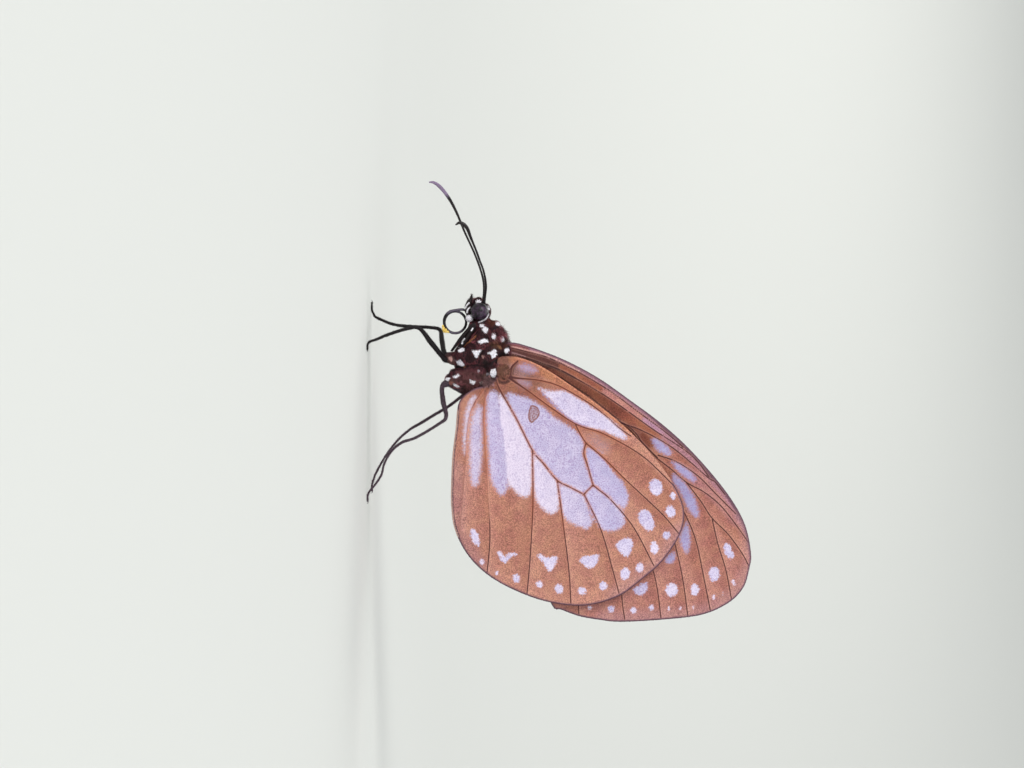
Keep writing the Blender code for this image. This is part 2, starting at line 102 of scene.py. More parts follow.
# Head
HEAD_PLACE = (480.3, 310.8)
HEAD_RADII = (1.25, 1.50, 1.36)
EYE_PLACE = (479.4, 311.4)
EYE_RADII = (1.20, 1.12, 1.22)
EYE_SIDE = 1.30
EYE_CLEARANCE = 1.28
NAPE_COLUMN = 484

# Coiled tongue
COIL_CENTRE = (455.0, 321.9)
COIL_RADIUS = 1.48
COIL_THICKNESS = 0.36
COIL_TURNS = 1.9
POINTS_IN_TURN = 60
TONGUE_BASE = [(470, 312.5), (465, 309.8), (460, 309.2)]
POLLEN_GRAINS = 34

# Body sections: row, column of the back, column of the belly, half width
THORAX = [
    (319, 486, 473, 1.0), (322, 495.5, 469, 1.9), (328, 500.5, 467, 2.4), (337, 506, 462, 2.75),
    (347, 509.5, 456, 3.05), (357, 512.5, 452, 3.1), (367, 512, 454, 3.0), (377, 508, 455, 2.6),
    (386, 499, 457, 2.1), (393, 489, 461, 1.5), (396, 483, 465, 0.9)]
ABDOMEN = [
    (393, 478, 466, 0.8), (401, 481, 461, 1.15), (412, 482, 458, 1.45), (430, 481, 457, 1.5),
    (460, 479, 455, 1.45), (490, 475, 454, 1.25), (510, 471, 455, 0.9), (519, 467, 457, 0.5)]
ABDOMEN_SEGMENTS = 8
ABDOMEN_ROW = 397
BELLY_COLUMN = 468
HEAD_END_ROW = 321
# The body's first and last row, and its middle line
BODY_ROWS = (298, 522)
BODY_MIDDLE = [(479, HEAD_PLACE[1]), (484, 345), (480, 380), (471, 400), (462, 519)]
HOOP_POINTS = 40
SKIN_STEP = 0.115
GROOVE_DEPTH = 0.2
# Swellings of the head: column, row and radii
HEAD_SWELLINGS = [
    (482, 319, (0.9, 1.2, 0.95)), (478, 301.5, (0.6, 0.95, 0.6)), (475, 303, (0.7, 0.95, 0.45)),
    (471, 309, (0.9, 0.8, 0.4)), (470.5, 315, (0.9, 0.9, 0.55))]
# Swellings on both sides of the body: column, row, way out from the middle, radii and tilt in degrees
SIDE_SWELLINGS = [
    (469.2, 318.2, 0.95, (0.46, 0.6, 0.44), 0.0), (453, 358.5, 1.3, (0.75, 0.85, 1.1), 20.0),
    (455, 380.5, 1.2, (1.0, 0.85, 1.4), 15.0), (456.5, 373.5, 1.2, (0.85, 0.85, 0.95), 0.0),
    (494.5, 329, 1.2, (1.1, 1.0, 0.8), 0.0), (506, 352, 1.75, (1.1, 0.75, 0.7), 0.0),
    (499.5, 371, 2.45, (1.0, 0.72, 1.35), 0.0), (504, 371.8, 2.55, (1.02, 0.75, 0.85), 0.0),
    (492.5, 372, 2.45, (0.75, 0.6, 0.55), 0.0), (466, 356, 1.75, (1.1, 1.0, 1.7), 30.0),
    (483, 340, 1.75, (1.5, 1.0, 1.6), 35.0), (490, 356, 2.1, (1.0, 0.95, 1.2), 20.0),
    (472, 378, 1.4, (1.2, 1.0, 1.9), 20.0)]

# Coat: depth under the solids, hairs tried, hairs in a piece at most, and lengths and widths of hairs
COAT_DEPTH = 0.12
COAT_SAMPLES = 46000
COAT_PIECE_LIMIT = 19500
HEAD_HAIR = 0.3
THORAX_HAIR = 0.36
BACK_HAIR = 0.72
ABDOMEN_HAIR = 0.32
ROOT_HAIR = 0.5
MARK_HAIR = 0.22
HAIR_WIDTH = 0.026
MARK_HAIR_WIDTH = 0.055
BRISTLE_WIDTH = 0.014
HAIR_CLUMPS = 900
ROOT_HAIRS = 900
ROOT_CLUMPS = 60
COAT_SEED = 7
LIMB_SEED = 11
# Rows between which the hair of the back is long, and the column and row from which a wing hides the body
LONG_HAIR_ROWS = (316, 340)
HIDDEN_FROM = (486, 380)
# A hair's faces, and where its corners lie on the bake map, from its root
TUFT_FACES = [(0, 2, 1), (0, 1, 4, 3), (1, 2, 5, 4), (2, 0, 3, 5), (3, 4, 6), (4, 5, 6), (5, 3, 6)]
TUFT_PATCH = [(-0.0012, -0.0012), (0.0012, -0.0012), (0.0, -0.0006), (-0.001, 0.0006), (0.001, 0.0006),
              (0.0, 0.001), (0.0, 0.0015)]

HINDWING_OUTLINE = [
    (498, 358), (513, 356), (531, 361), (554, 373.5), (601, 406.7), (632, 433), (657, 460),
    (675.5, 486.5), (684.5, 510), (681, 533), (664, 560), (642, 580), (618, 597), (585, 606),
    (551, 603), (520, 593), (490, 577), (468, 556), (454.6, 530), (450.8, 506), (450.8, 480), (452, 455),
    (455, 430), (458.6, 402),
    (472, 389), (487, 384), (496, 375)]
HINDWING_VEINS = {
    "humeral": [(510, 376), (512, 367), (518, 361)],
    "subcosta": [(500, 369), (511, 377), (538, 380), (557, 385), (573.5, 393.7), (590, 403.7),
                 (606, 416), (620, 428.5), (631, 436)],
    "radial": [(500, 370), (511, 379), (531, 393), (551, 407.6), (570.5, 421), (583, 427),
               (599, 431.8), (616, 440), (632, 449), (646, 458.8), (659.5, 471.4), (675, 487)],
    "media_1": [(576, 425.5), (580, 433.5), (586, 442.7), (592.5, 448.3), (606, 460.2),
                (624.4, 478.4), (647.5, 500), (665, 517), (680, 535)],
    "cross_upper": [(586, 442.7), (583.8, 453), (587.5, 465), (593, 485)],
    "media_2": [(593, 485), (598.5, 489.6), (611, 500), (634, 528), (656, 570)],
    "cross_lower": [(593, 485), (584, 494)],
    "media_3": [(584, 494), (601, 530), (613, 571), (620, 597)],
    "cell_lower": [(495, 374), (499, 388), (516, 418), (532.5, 450.5), (544, 464.2),
                   (557.2, 480.4), (570.4, 487.3), (584, 494.5)],
    "cubitus_1": [(557.2, 480.4), (560, 500), (563, 522), (569, 571), (571, 605)],
    "cubitus_2": [(532.5, 450.5), (533, 503), (530, 560), (527, 594)],
    "anal_2": [(492, 378), (484, 410), (487, 473), (490, 534), (487, 574)],
    "anal_3": [(490, 380), (470, 415), (465, 473), (460, 535)]}

FOREWING_OUTLINE = [
    (503, 346), (512, 342), (530, 346.3), (556, 355.7), (580, 366.9), (604, 380.9), (630, 399.5),
    (657.2, 419.5), (684, 442.8), (711.1, 472), (733, 500.7), (746.2, 526.1), (751.8, 553.6),
    (750, 569), (744, 588), (729, 603.4), (702, 615.4), (661.2, 620.4), (620, 622.4),
    (600, 620.4), (580, 616.9), (562, 610.4), (551, 604.4),
    (538, 560), (524, 500), (512, 430), (506, 385), (503, 366)]
FOREWING_VEINS = {
    "subcosta": [(506, 347), (516, 348.9), (525.6, 351.3), (541.7, 355.4), (550.3, 358.5), (580, 373),
                 (610, 391), (641, 414), (664, 431), (683, 447)],
    "radius_1": [(506, 353), (520, 356), (533.6, 360.3), (547.4, 364.9), (561.8, 370.6), (580, 380.6),
                 (596.5, 390.3), (611.6, 399.9), (629, 412), (654, 430), (684, 449.6), (698, 462.3),
                 (709, 477)],
    "cell_upper": [(506, 355), (541, 374), (575, 396), (612, 418), (626, 424.5), (636, 433.5),
                   (641, 441), (646.6, 447), (657.4, 457.7)],
    "radius_2": [(620, 423), (641, 430), (670, 446), (692, 463.5), (709, 478.4), (715, 482),
                 (725, 494.5)],
    "radius_3": [(658, 455), (677, 462), (698, 476), (717, 495), (736, 514)],
    "radius_4": [(658, 459), (671, 469), (686, 482), (704, 492), (720, 505), (734, 522), (749, 543)],
    "radius_5": [(686, 482), (700, 500), (712, 518), (728, 534), (742, 553), (749, 566)],
    "media_1": [(712, 518), (718, 544), (726, 570), (732, 601)],
    "cell_end": [(655, 459), (658, 472), (660, 492), (648, 508), (636, 520)],
    "media_2": [(668, 484), (685, 514), (696, 541), (704, 578), (711, 613)],
    "media_3": [(664, 500), (676, 548), (683, 580), (688, 616)],
    "cubitus_1": [(636, 520), (650, 560), (657, 587), (661, 618)],
    "cell_lower": [(506, 358), (541, 396), (580, 440), (612, 480), (636, 520)],
    "cubitus_2": [(612, 480), (620, 550), (622, 598), (625, 621)],
    "cubitus_3": [(570, 428), (575, 540), (579, 616)],
    "anal_2": [(506, 364), (514, 430), (530, 510), (553, 602)]}

# Pale patches: outline, blueness from 0 to 1, softness of the edge, growth in millimetres
HINDWING_PATCHES = [
    ([(538, 388), (550, 391), (565, 391), (579, 399), (595, 409), (609, 418), (620, 428), (627, 438),
      (623, 439), (613, 435), (601, 430), (587, 427), (575, 422), (562, 412), (552, 401)], 0.2, 0.22, 0.02),
    ([(540, 390), (552, 400.5), (562, 411), (575, 420.5), (588, 425.5), (587, 427.4), (574, 423),
      (561, 413), (550, 402)], 1.0, 0.25, 0.0),
    ([(507, 394), (519, 396), (530, 399.5), (542, 407), (554, 417), (566, 425), (575, 431), (581, 438),
      (583.5, 445), (582.5, 455), (586.5, 468), (591.5, 484), (583.5, 493), (571, 486.5),
      (558.5, 479.5), (545.5, 464), (533, 449), (522, 429), (514.5, 414)], 0.5, 0.3, 0.06),
    ([(587, 449), (592, 450.5), (599, 455.5), (607, 465), (614, 474), (622, 483), (627, 493),
      (627, 501), (624, 507),
      (617, 503), (607, 494), (597, 486), (592, 480), (588, 465)], 0.6, 0.25, 0.1),
    ([(592, 487), (601, 490), (609, 496), (618, 506), (624, 518), (623, 525), (614, 530), (603, 529),
      (596, 520), (590, 508), (585, 497)], 0.55, 0.25, 0.1),
    ([(559, 483), (571, 488), (582, 494), (586, 503), (590, 514), (591, 523), (587, 528), (577, 525),
      (568, 520), (563, 512), (561, 499)], 0.35, 0.3, 0.1),
    ([(534, 453.5), (545, 467.5), (556, 481), (558, 493), (558, 507), (554, 513), (548, 512), (540, 505),
      (536, 497), (534, 480)], 0.1, 0.3, 0.1),
    ([(488, 395), (497, 393), (502, 412), (506, 436), (509.5, 463), (509, 481), (505, 492), (501, 495),
      (495, 487), (491, 477), (489, 452), (487, 422)], 0.55, 0.35, 0.05),
    ([(498, 397), (504, 398), (513, 415), (523, 433.5), (531, 450), (531.5, 469), (531, 487), (528, 496),
      (520, 495), (512, 487), (507, 480), (503, 461), (499, 428)], 0.0, 0.3, 0.08),
    ([(479, 405), (482, 407), (482, 422), (482, 452), (480, 473), (478, 484), (474, 486), (471, 481),
      (470, 461), (470, 436), (472, 418), (475, 410)], 0.35, 0.4, 0.0),
    ([(471, 398), (477, 397), (471, 411), (468, 428), (466, 446), (464.5, 454), (463.5, 444),
      (464, 426), (466, 411)], 0.1, 0.4, 0.0),
    ([(592, 437), (600, 439), (608, 445), (606, 452), (597, 447)], 0.1, 1.15, 0.0),
    ([(497.6, 551.6), (500.8, 551.4), (504.2, 556.4), (507.5, 554), (511.5, 552.8), (516.5, 553.4),
      (516, 555), (510.5, 556.8), (508, 560), (505, 563), (502, 560.6), (499, 556)], 0.2, 0.1, 0.03),
    ([(537, 555.5), (542, 554.5), (547, 557.5), (557, 556), (556, 563), (551, 571), (547, 569),
      (542, 561)], 0.2, 0.1, 0.0),
    ([(579, 561), (583, 556.5), (590, 555.5), (599, 554.5), (598, 560), (594, 567), (588, 568),
      (583, 564)], 0.2, 0.1, 0.0),
    ([(615.5, 546), (620.5, 540), (630, 538), (633, 544), (631, 551), (627, 557.5), (621.5, 553.5)],
     0.3, 0.1, 0.0),
    ([(638, 518), (641, 510.5), (648, 510.5), (653, 519), (654, 526), (651, 531), (644, 528)],
     0.3, 0.1, 0.0),
    ([(471.5, 528.5), (476, 531), (479, 538), (479, 546), (475.5, 545), (471.5, 538)], 0.2, 0.1, 0.0)]
# Pale spots: column, row, width, height, tilt in degrees, blueness, softness
HINDWING_SPOTS = [
    (527.5, 368.6, 18, 7, 14, 0.9, 0.6), (524, 383, 12, 5, 20, 0.6, 0.9),
    (655.9, 487.1, 13, 17, -15, 0.25, 0.1), (672.9, 495.5, 5.5, 8, 0, 0.2, 0.1),
    (670.6, 511.6, 10, 12, -20, 0.2, 0.1), (666.5, 535.3, 8, 8, 0, 0.4, 0.1),
    (654.3, 548, 8.5, 13, -10, 0.1, 0.1), (639.6, 567.6, 8, 10, 10, 0.2, 0.1),
    (625.1, 573.7, 9.5, 13, 10, 0.2, 0.1), (481.8, 561.6, 4.5, 5.5, -20, 0.1, 0.1),
    (496.5, 572.9, 3, 4, 0, 0.1, 0.1), (516.3, 578.2, 7, 9, -20, 0.2, 0.1),
    (539.4, 584.1, 6.5, 7, 0, 0.2, 0.1), (559, 588.8, 8, 10.5, -20, 0.2, 0.1),
    (581.8, 590.8, 8, 8, 0, 0.2, 0.1), (603, 586.1, 8, 9, 20, 0.2, 0.1)]
FOREWING_PATCHES = [
    ([(651.5, 439.5), (654, 438), (659, 439.5), (666, 444.5), (670, 449.5), (672.5, 453),
      (670, 455), (666, 455), (660.5, 452.5), (655.5, 448)], 0.85, 0.3, 0.0),
    ([(671, 461), (675, 462), (680, 463.5), (685, 467), (691, 472), (694, 476), (696, 480),
      (694, 482.5), (691, 481), (685, 477), (679.5, 473), (675, 468)], 1.0, 0.3, 0.0),
    ([(673, 473.5), (677, 475.5), (681, 479), (686, 484.5), (690, 490.5), (694, 497.5), (697, 505),
      (699, 513), (697.5, 518), (695, 516.5), (690, 511.5), (686.5, 506.5), (683.5, 499),
      (680, 492), (676, 485.5), (672.5, 480.5)], 0.95, 0.3, 0.0),
    ([(686.5, 522), (688.5, 526.5), (689.5, 533.5), (690, 542.5), (689, 549.5), (687, 554),
      (683.5, 550.5), (681, 544.5), (680, 537), (682, 531)], 0.8, 0.3, 0.0),
    ([(724, 546), (726, 543), (730, 545), (732, 550.5), (734.5, 556), (731, 559.5), (728, 557.5),
      (724.5, 551.5)], 0.3, 0.1, 0.0),
    ([(665, 561), (667, 557), (671, 553.5), (674, 552), (675, 556), (674.5, 560.5), (671, 563.5),
      (667.5, 563.5)], 0.8, 0.2, 0.0),
    ([(632.5, 589.5), (637, 586.5), (643, 583), (647, 582.5), (648, 586), (646, 591.5), (641.5, 595.5),
      (637.5, 594.5)], 0.5, 0.1, 0.0)]
# A small brown ring in the middle of the left hindwing's cell
CELL_RING = [
    (531.5, 405.8), (536.3, 407), (539, 411.5), (538, 416.5), (534.5, 420), (531.5, 422.6),
    (529.2, 419.5), (528.8, 414.3), (530, 409.2)]
FOREWING_SPOTS = [
    (714.5, 574.3, 11, 15, 0, 0.3, 0.1),
    (733.7, 582.8, 3.4, 6.2, -10, 0.1, 0.1), (713.8, 597.6, 2.6, 4.6, 0, 0.1, 0.1),
    (695.1, 589.8, 8.5, 12, 0, 0.2, 0.1), (671.8, 590.2, 12.5, 14, 0, 0.2, 0.1),
    (611, 609, 7, 7, 0, 0.3, 0.1), (590, 608, 4, 3, 0, 0.1, 0.1),
    (633.5, 610.6, 6, 6, 0, 0.2, 0.1), (651.4, 607.6, 5, 6, 0, 0.2, 0.1),
    (668.6, 608.6, 1.3, 4.6, 0, 0.1, 0.1), (680.4, 608, 1.3, 4.2, 0, 0.1, 0.1),
    (693.5, 607.7, 0.9, 2.8, 0, 0.1, 0.1), (722.8, 594.5, 1.2, 2.2, 0, 0.1, 0.1)]

# Colours as a screen shows them, 0 to 255
TERRACOTTA = (179, 123, 106)
FOREWING_TERRACOTTA = (171, 113, 102)
BROWN = (160, 98, 78)
DEEP_BROWN = (120, 62, 44)
ROOT_BROWN = (110, 66, 54)
SALMON = (206, 150, 132)
PINK_GREY = (178, 132, 134)
COSTAL_MAUVE = (142, 98, 112)
COSTAL_PINK = (186, 126, 118)
COSTAL_LILAC = (176, 132, 158)
COSTAL_PLUM = (92, 56, 72)
# Painted shadow in the gap between the wings
GAP_SHADOW = (30, 12, 12)
STRIP_MAUVE = (168, 118, 132)
FRINGE_PALE = (208, 172, 160)
LILAC_WHITE = (232, 221, 242)
LILAC_BLUE = (164, 162, 206)
SPECK_VIOLET = (152, 128, 182)
VEIN_BROWN = (98, 44, 34)
VEIN_DARK = (66, 24, 30)
VEIN_HALO = (186, 108, 80)
RIM_DARK = (76, 49, 64)
RIM_MAUVE = (122, 86, 104)
RING_BROWN = (138, 86, 78)
SKIN_DARK = (35, 15, 25)
HAIR_BROWN = (90, 43, 51)
HAIR_PALE = (150, 90, 92)
ROOT_TUFT_GREY = (170, 126, 128)
SPOT_WHITE = (250, 247, 255)
SPOT_PINK = (196, 152, 146)
SPOT_TAN = (150, 104, 76)
FEELER_BLACK = (26, 20, 22)
CLUB_LILAC = (140, 122, 150)
TONGUE_BLACK = (18, 13, 18)
TONGUE_SHINE = (100, 91, 108)
BELLY_BROWN = (150, 98, 72)
EYE_DARK = (22, 13, 24)
EYE_LIGHT = (64, 43, 66)
EYE_BLOT = (8, 5, 8)
EYE_RIM = (6, 4, 6)
BRISTLES = {"midleg": (30, 20, 24), "hindleg": (92, 74, 84)}
# Dark and light colour of the grain on legs and pollen
MIDLEG_GRAIN = ((14, 8, 11), (38, 27, 32))
HINDLEG_GRAIN = ((48, 34, 42), (112, 94, 110))
POLLEN_GRAIN = ((240, 204, 96), (255, 240, 178))

# Strokes that tint the wings: line, half width, fade, colour, strength
HINDWING_STROKES = [
    ([(500, 372), (512, 382)], 1.6, 4.5, ROOT_BROWN, 0.85),
    ([(515, 361), (554, 377), (598, 408), (620, 427)], 0.35, 0.7, (174, 110, 80), 0.85),
    # Painted highlight: a thin pale line along the hindwing's front edge
    ([(516, 357.6), (531, 362.2), (554, 374.7), (601, 407.9), (632, 434.2)], 0.04, 0.12,
     (224, 152, 120), 0.8),
    ([(512, 369), (521, 375)], 0.3, 0.8, (150, 112, 112), 0.55),
    ([(626, 436), (645, 454), (664, 474), (676, 489)], 0.25, 0.6, SALMON, 0.9),
    ([(680, 500), (684, 510), (681, 533)], 0.3, 1.2, SALMON, 0.4),
    ([(500, 380), (520, 388), (548, 405), (575, 428)], 0.5, 1.4, BROWN, 0.6),
    ([(610, 445), (635, 462), (655, 485), (665, 505)], 1.6, 2.0, BROWN, 0.45),
    ([(483, 395), (485, 430), (488, 470)], 0.3, 0.9, BROWN, 0.4),
    ([(500, 500), (505, 520), (512, 545)], 0.8, 3.0, BROWN, 0.35),
    ([(540, 515), (545, 545)], 0.6, 2.4, BROWN, 0.25),
    ([(595, 535), (620, 560)], 0.6, 2.4, BROWN, 0.2),
    ([(455, 470), (455, 515), (460, 540), (480, 570)], 0.6, 1.6, (170, 120, 118), 0.65),
    ([(490, 577), (520, 593), (551, 601), (585, 603), (618, 596)], 0.4, 1.6, SALMON, 0.25),
    ([(618, 596), (642, 580), (664, 560), (681, 533)], 0.3, 2.0, PINK_GREY, 0.5),
    ([(497, 379), (500, 382), (504, 382.8), (508, 381.4), (510.6, 378), (512, 372), (513.4, 367),
      (517, 362.6)], 0.12, 0.2, (70, 36, 30), 0.9),
    ([(511, 378), (520, 384.6), (530, 392)], 0.1, 0.2, (92, 46, 34), 0.8),
    ([(495, 376), (499, 388), (507, 402)], 0.1, 0.2, (96, 46, 32), 0.8)]
FOREWING_STROKES = [
    ([(506, 350), (545, 380), (590, 420), (640, 480)], 4.0, 5.0, BROWN, 0.5),
    ([(580, 386), (600, 397), (612, 407), (626, 417)], 0.5, 0.6, DEEP_BROWN, 0.95),
    ([(508, 356), (524, 359.5), (540, 366), (553, 372)], 0.45, 0.35, (84, 40, 33), 0.95),
    ([(553, 372), (566, 379), (582, 388)], 0.45, 0.35, (116, 62, 48), 0.9),
    ([(508, 350), (527, 355), (545, 360.5), (562, 367)], 0.3, 0.3, (82, 39, 36), 0.95),
    ([(562, 367), (582, 377), (602, 388.5)], 0.3, 0.35, (148, 82, 62), 0.9),
    ([(626, 417), (640, 424), (655, 433), (668, 443)], 0.3, 0.7, (150, 84, 62), 0.85),
    ([(628, 428), (640, 435), (650, 444)], 0.4, 0.5, DEEP_BROWN, 0.95),
    ([(660, 455), (690, 478), (715, 505), (735, 530)], 0.9, 1.6, BROWN, 0.4),
    ([(690, 473), (715, 495), (737, 520)], 0.5, 0.8, STRIP_MAUVE, 0.4),
    ([(605, 391), (630, 408.5), (645, 419.5)], 0.28, 0.35, COSTAL_PINK, 0.9),
    ([(645, 420), (655, 427), (665, 434), (677, 443)], 0.22, 0.35, COSTAL_LILAC, 0.9),
    ([(664, 436), (690, 458), (706, 473), (722, 491), (738, 513), (748, 534)], 0.22, 0.45,
     STRIP_MAUVE, 0.9),
    ([(508, 343.5), (517, 345.6), (530, 348.6)], 0.2, 0.3, (116, 56, 56), 0.9),
    ([(532, 349.2), (556, 358), (580, 369.4), (604, 384), (630, 402), (657, 422), (672, 434)],
     0.2, 0.34, COSTAL_MAUVE, 0.95),
    ([(508.5, 346), (516, 347.4), (525.6, 349.7), (541.7, 353.8), (558.9, 360.6), (580, 371.2)],
     0.03, 0.1, (206, 160, 154), 0.75),
    ([(580, 371.2), (610, 389.4), (630, 403.6), (657, 423.6)], 0.02, 0.1, (172, 126, 140), 0.6),
    ([(590, 374), (604, 382.4), (630, 401), (657, 421), (684, 444.4)], 0.02, 0.08, COSTAL_PLUM, 0.6),
    ([(645, 412), (657, 422.6), (671.4, 436), (687.8, 451), (700, 464.4), (712, 480)], 0.03, 0.1,
     COSTAL_PLUM, 0.8),
    ([(510.7, 352.4), (518, 354.4), (525, 356.6)], 0.03, 0.1, (180, 140, 146), 0.7),
    ([(660, 421.8), (684, 443), (697, 456), (711, 472.2), (733, 501), (746, 526), (751.4, 553)],
     0.2, 0.36, COSTAL_PLUM, 0.88),
    ([(680, 439.4), (697, 456), (711, 472.2), (733, 501), (744, 521)], 0.3, 0.3, (84, 50, 64), 0.85),
    # Painted highlight: a thin pale orange line along the cell_upper vein
    ([(629, 426.5), (636, 434.4), (641, 442), (646.6, 448)], 0.03, 0.08, (216, 152, 122), 0.7),
    # A black line along the root of radius_1: the vein's own dark colour, with painted shadow beside it
    ([(522, 357.4), (533.6, 360.9), (547.4, 365.4), (561.8, 371.1), (575, 378)], 0.08, 0.14,
     GAP_SHADOW, 0.95),
    # Painted shadow: a thin dark line on the forewing along the hindwing's front edge, where the hindwing
    # shades it
    ([(558, 375.8), (570.4, 384), (580, 390.2), (590.5, 397.4), (601, 405.7), (611.6, 414.2),
      (622.1, 422.6), (628.4, 428.4), (636.1, 436.6), (643.1, 443.8), (652, 453), (657, 458.5)],
     0.03, 0.09, GAP_SHADOW, 0.88),
    ([(700, 550), (690, 520)], 1.0, 3.0, BROWN, 0.35),
    ([(735, 597), (701, 614), (655, 619), (605, 620)], 0.4, 1.6, PINK_GREY, 0.55),
    ([(744, 515), (751, 541), (751, 565), (742, 585)], 0.4, 1.4, PINK_GREY, 0.5)]

# Where a wing's edge is pale outside its dark line
HINDWING_PALE_EDGE = [(456.5, 418), (452, 455), (451, 480), (451, 506), (454.4, 529)]
# Where the hindwing's edge has no dark line, and where the forewing's has a pale fringe
HINDWING_BARE_EDGE = HINDWING_OUTLINE[:7] + [(670, 478)]
FOREWING_PALE_FRINGE = FOREWING_OUTLINE[4:13]

# Round this line the hindwing's veins are brown, and elsewhere they are nearly black
HINDWING_BROWN_VEINS = [(520, 420), (565, 465)]

# Along this line the hindwing's veins can hardly be seen
HINDWING_FAINT_VEINS = [
    (470, 415), (465, 473), (460, 535), (462, 520), (488, 510), (487, 473), (484, 410), (490, 384)]
FAINT_VEIN_FADE = 0.075

# A line far from both wings, for an edge that a wing hasn't got
NO_EDGE = [(300, 300), (301, 300)]

# Soft patches of hair colour on the body: outline and colour
BODY_AREAS = [
    ([(497.5, 366), (503, 363), (509, 365), (511, 372), (508, 379), (500, 380), (497, 374)], (140, 92, 78)),
    ([(481, 374), (489, 372.5), (493, 377), (492, 386), (482, 386)], (116, 84, 78)),
    ([(480.7, 360), (486, 358.5), (490.5, 362), (489, 367), (483, 366.5)], (46, 24, 28)),
    ([(444, 358), (448, 355), (454, 357), (454, 363), (449, 366), (445, 363)], (112, 78, 76)),
    ([(445, 380), (452, 378.5), (456, 382), (450, 385.5)], (110, 78, 76)),
    ([(456, 371.5), (468, 369.5), (479, 371), (483, 378), (480, 387), (467, 389), (456, 381)], (120, 72, 76)),
    ([(488, 318.5), (494, 319.5), (497, 323), (492, 326), (487, 323)], (122, 66, 56)),
    ([(489, 342.5), (497, 340), (502, 345), (500, 349), (492, 347)], (112, 72, 58)),
    ([(497, 343), (505, 339), (509, 345), (503, 350)], (96, 52, 46))]
# Where a tuft of grey-brown hair covers the root of the hindwing
ROOT_TUFT = [(481.5, 381), (484, 375.5), (490, 373.5), (495.5, 377), (494.5, 384), (488, 388), (482, 387)]
# Marks on the body: the white ones as outlines, then all with their colour
WHITE_MARKS = [
    [(475.8, 301), (478, 300), (480.8, 301.2), (480.4, 303), (476.4, 303)],
    [(465.4, 315), (470, 314), (473, 320.6), (466.4, 321.8)],
    [(487.6, 305), (490.4, 304.4), (491.4, 307.4), (490.6, 310), (488.4, 309)],
    [(479.6, 324.4), (481.8, 323.8), (484.2, 324.6), (483.4, 326.4), (480.2, 326.8)],
    [(482.2, 328.4), (484.6, 326.4), (487.8, 328), (487.6, 331), (485.2, 332.6), (482.4, 330.6)],
    [(495.8, 321.8), (498.6, 321.2), (500.6, 324.4), (498.6, 325.6), (495.6, 324.4)],
    [(491.2, 333.6), (494.6, 333), (495.8, 337), (494, 339.2), (491.4, 337.4)],
    [(499.6, 335.6), (502.2, 335.2), (504.4, 339.4), (503.2, 341.4), (500.6, 340.4)],
    [(477, 341.4), (480.4, 340.2), (484, 338.4), (488, 339.2), (488.2, 341.6), (484, 342.2),
     (480.6, 343.2)],
    [(506, 348), (508.4, 347.6), (508.8, 350.6), (507, 353), (504.6, 352), (504.4, 350)],
    [(471.6, 350.2), (475, 350.6), (480.2, 349.8), (478.6, 354.4), (476.8, 358), (474.4, 355)],
    [(480.2, 349.6), (481.8, 349.8), (481, 351.2)],
    [(487, 352.3), (491.2, 351.6), (494.2, 349.2), (496.8, 350.2), (494.6, 353), (497.4, 353.6),
     (494.3, 357.4), (491.6, 357.6), (491, 354.6)],
    [(457.5, 350.6), (461.4, 347.9), (464.4, 348.3), (464.4, 350.6), (460.6, 352)],
    [(458.4, 347.6), (460.4, 345.8), (461.4, 346.8)],
    [(455.6, 360.9), (460.6, 359.4), (463.7, 363.8), (463.3, 366.1), (458.3, 364.6)],
    [(452.2, 376.4), (458.3, 373.6), (459.6, 375.5), (455.2, 377.8)],
    [(444.9, 379.5), (446.4, 377.4), (450.5, 378), (446.4, 381.4)],
    [(452.8, 383.4), (456.8, 384.3), (459.7, 387), (455.2, 386.4)],
    [(469.6, 379), (471.8, 380.2), (475.9, 381.2), (473.2, 383.9), (470.2, 383.1)],
    [(490, 372.6), (491.2, 369.3), (495.4, 368.5), (496.4, 373), (493.9, 378.4), (491.2, 376.4)]]
BODY_MARKS = [(outline, SPOT_WHITE) for outline in WHITE_MARKS] + [
    ([(448, 357.6), (451.2, 356.2), (452.8, 359.6), (451, 361.4)], SPOT_PINK),
    ([(486, 373), (488.6, 372.6), (489.4, 375), (486.6, 375.2)], (170, 160, 170)),
    ([(477.2, 370), (479.4, 369.6), (479.6, 371.2), (477.8, 371.6)], (190, 180, 190)),
    ([(496.4, 344.6), (500.6, 345.6), (501.8, 349.2), (498.8, 348.4)], SPOT_TAN),
    ([(492.6, 342.4), (495, 342), (494.6, 344.6)], SPOT_TAN),
    ([(481.8, 355.4), (484, 355.6), (483.2, 357.6)], SPOT_PINK),
    ([(463.4, 366.4), (465.4, 366), (465, 367.6)], SPOT_TAN),
    ([(446.6, 382.4), (450.6, 380.8), (453.4, 382), (450, 384.4)], (150, 98, 90)),
    ([(479, 382.6), (482, 380.8), (484.6, 382.4), (481.6, 385)], (150, 134, 134))]
# Fine lines on the body: line, half width in millimetres, colour
BODY_LINES = [
    ([(489, 313.4), (486.6, 317.3), (483, 320.4), (479, 322)], 0.055, SPOT_WHITE),
    # A thin tan line along the front leg: a painted highlight
    ([(463.5, 346), (468, 342.4), (471, 340.2), (476, 335.4)], 0.06, (168, 108, 74))]
# Grooves between the plates of the thorax
GROOVES = [
    [(450, 368), (462, 366.5), (474, 364.5), (482, 365.5), (487, 369), (489, 379)],
    [(463, 350), (468, 340), (476, 329)],
    [(479, 362), (482, 352), (490, 345), (503, 342)],
    [(489, 364), (497, 359), (506, 357)]]
PALP_STREAKS = [
    [(467, 312.6), (467.5, 309.5), (471.4, 306.2)],
    [(464.9, 308.4), (466.4, 305.4), (469, 302.6)]]
FORELEG_STREAKS = [
    [(471.4, 330.6), (472.8, 328.4)],
    [(462.2, 341.4), (464.4, 338.4)],
    [(461.8, 343.6), (462.6, 342.8)]]

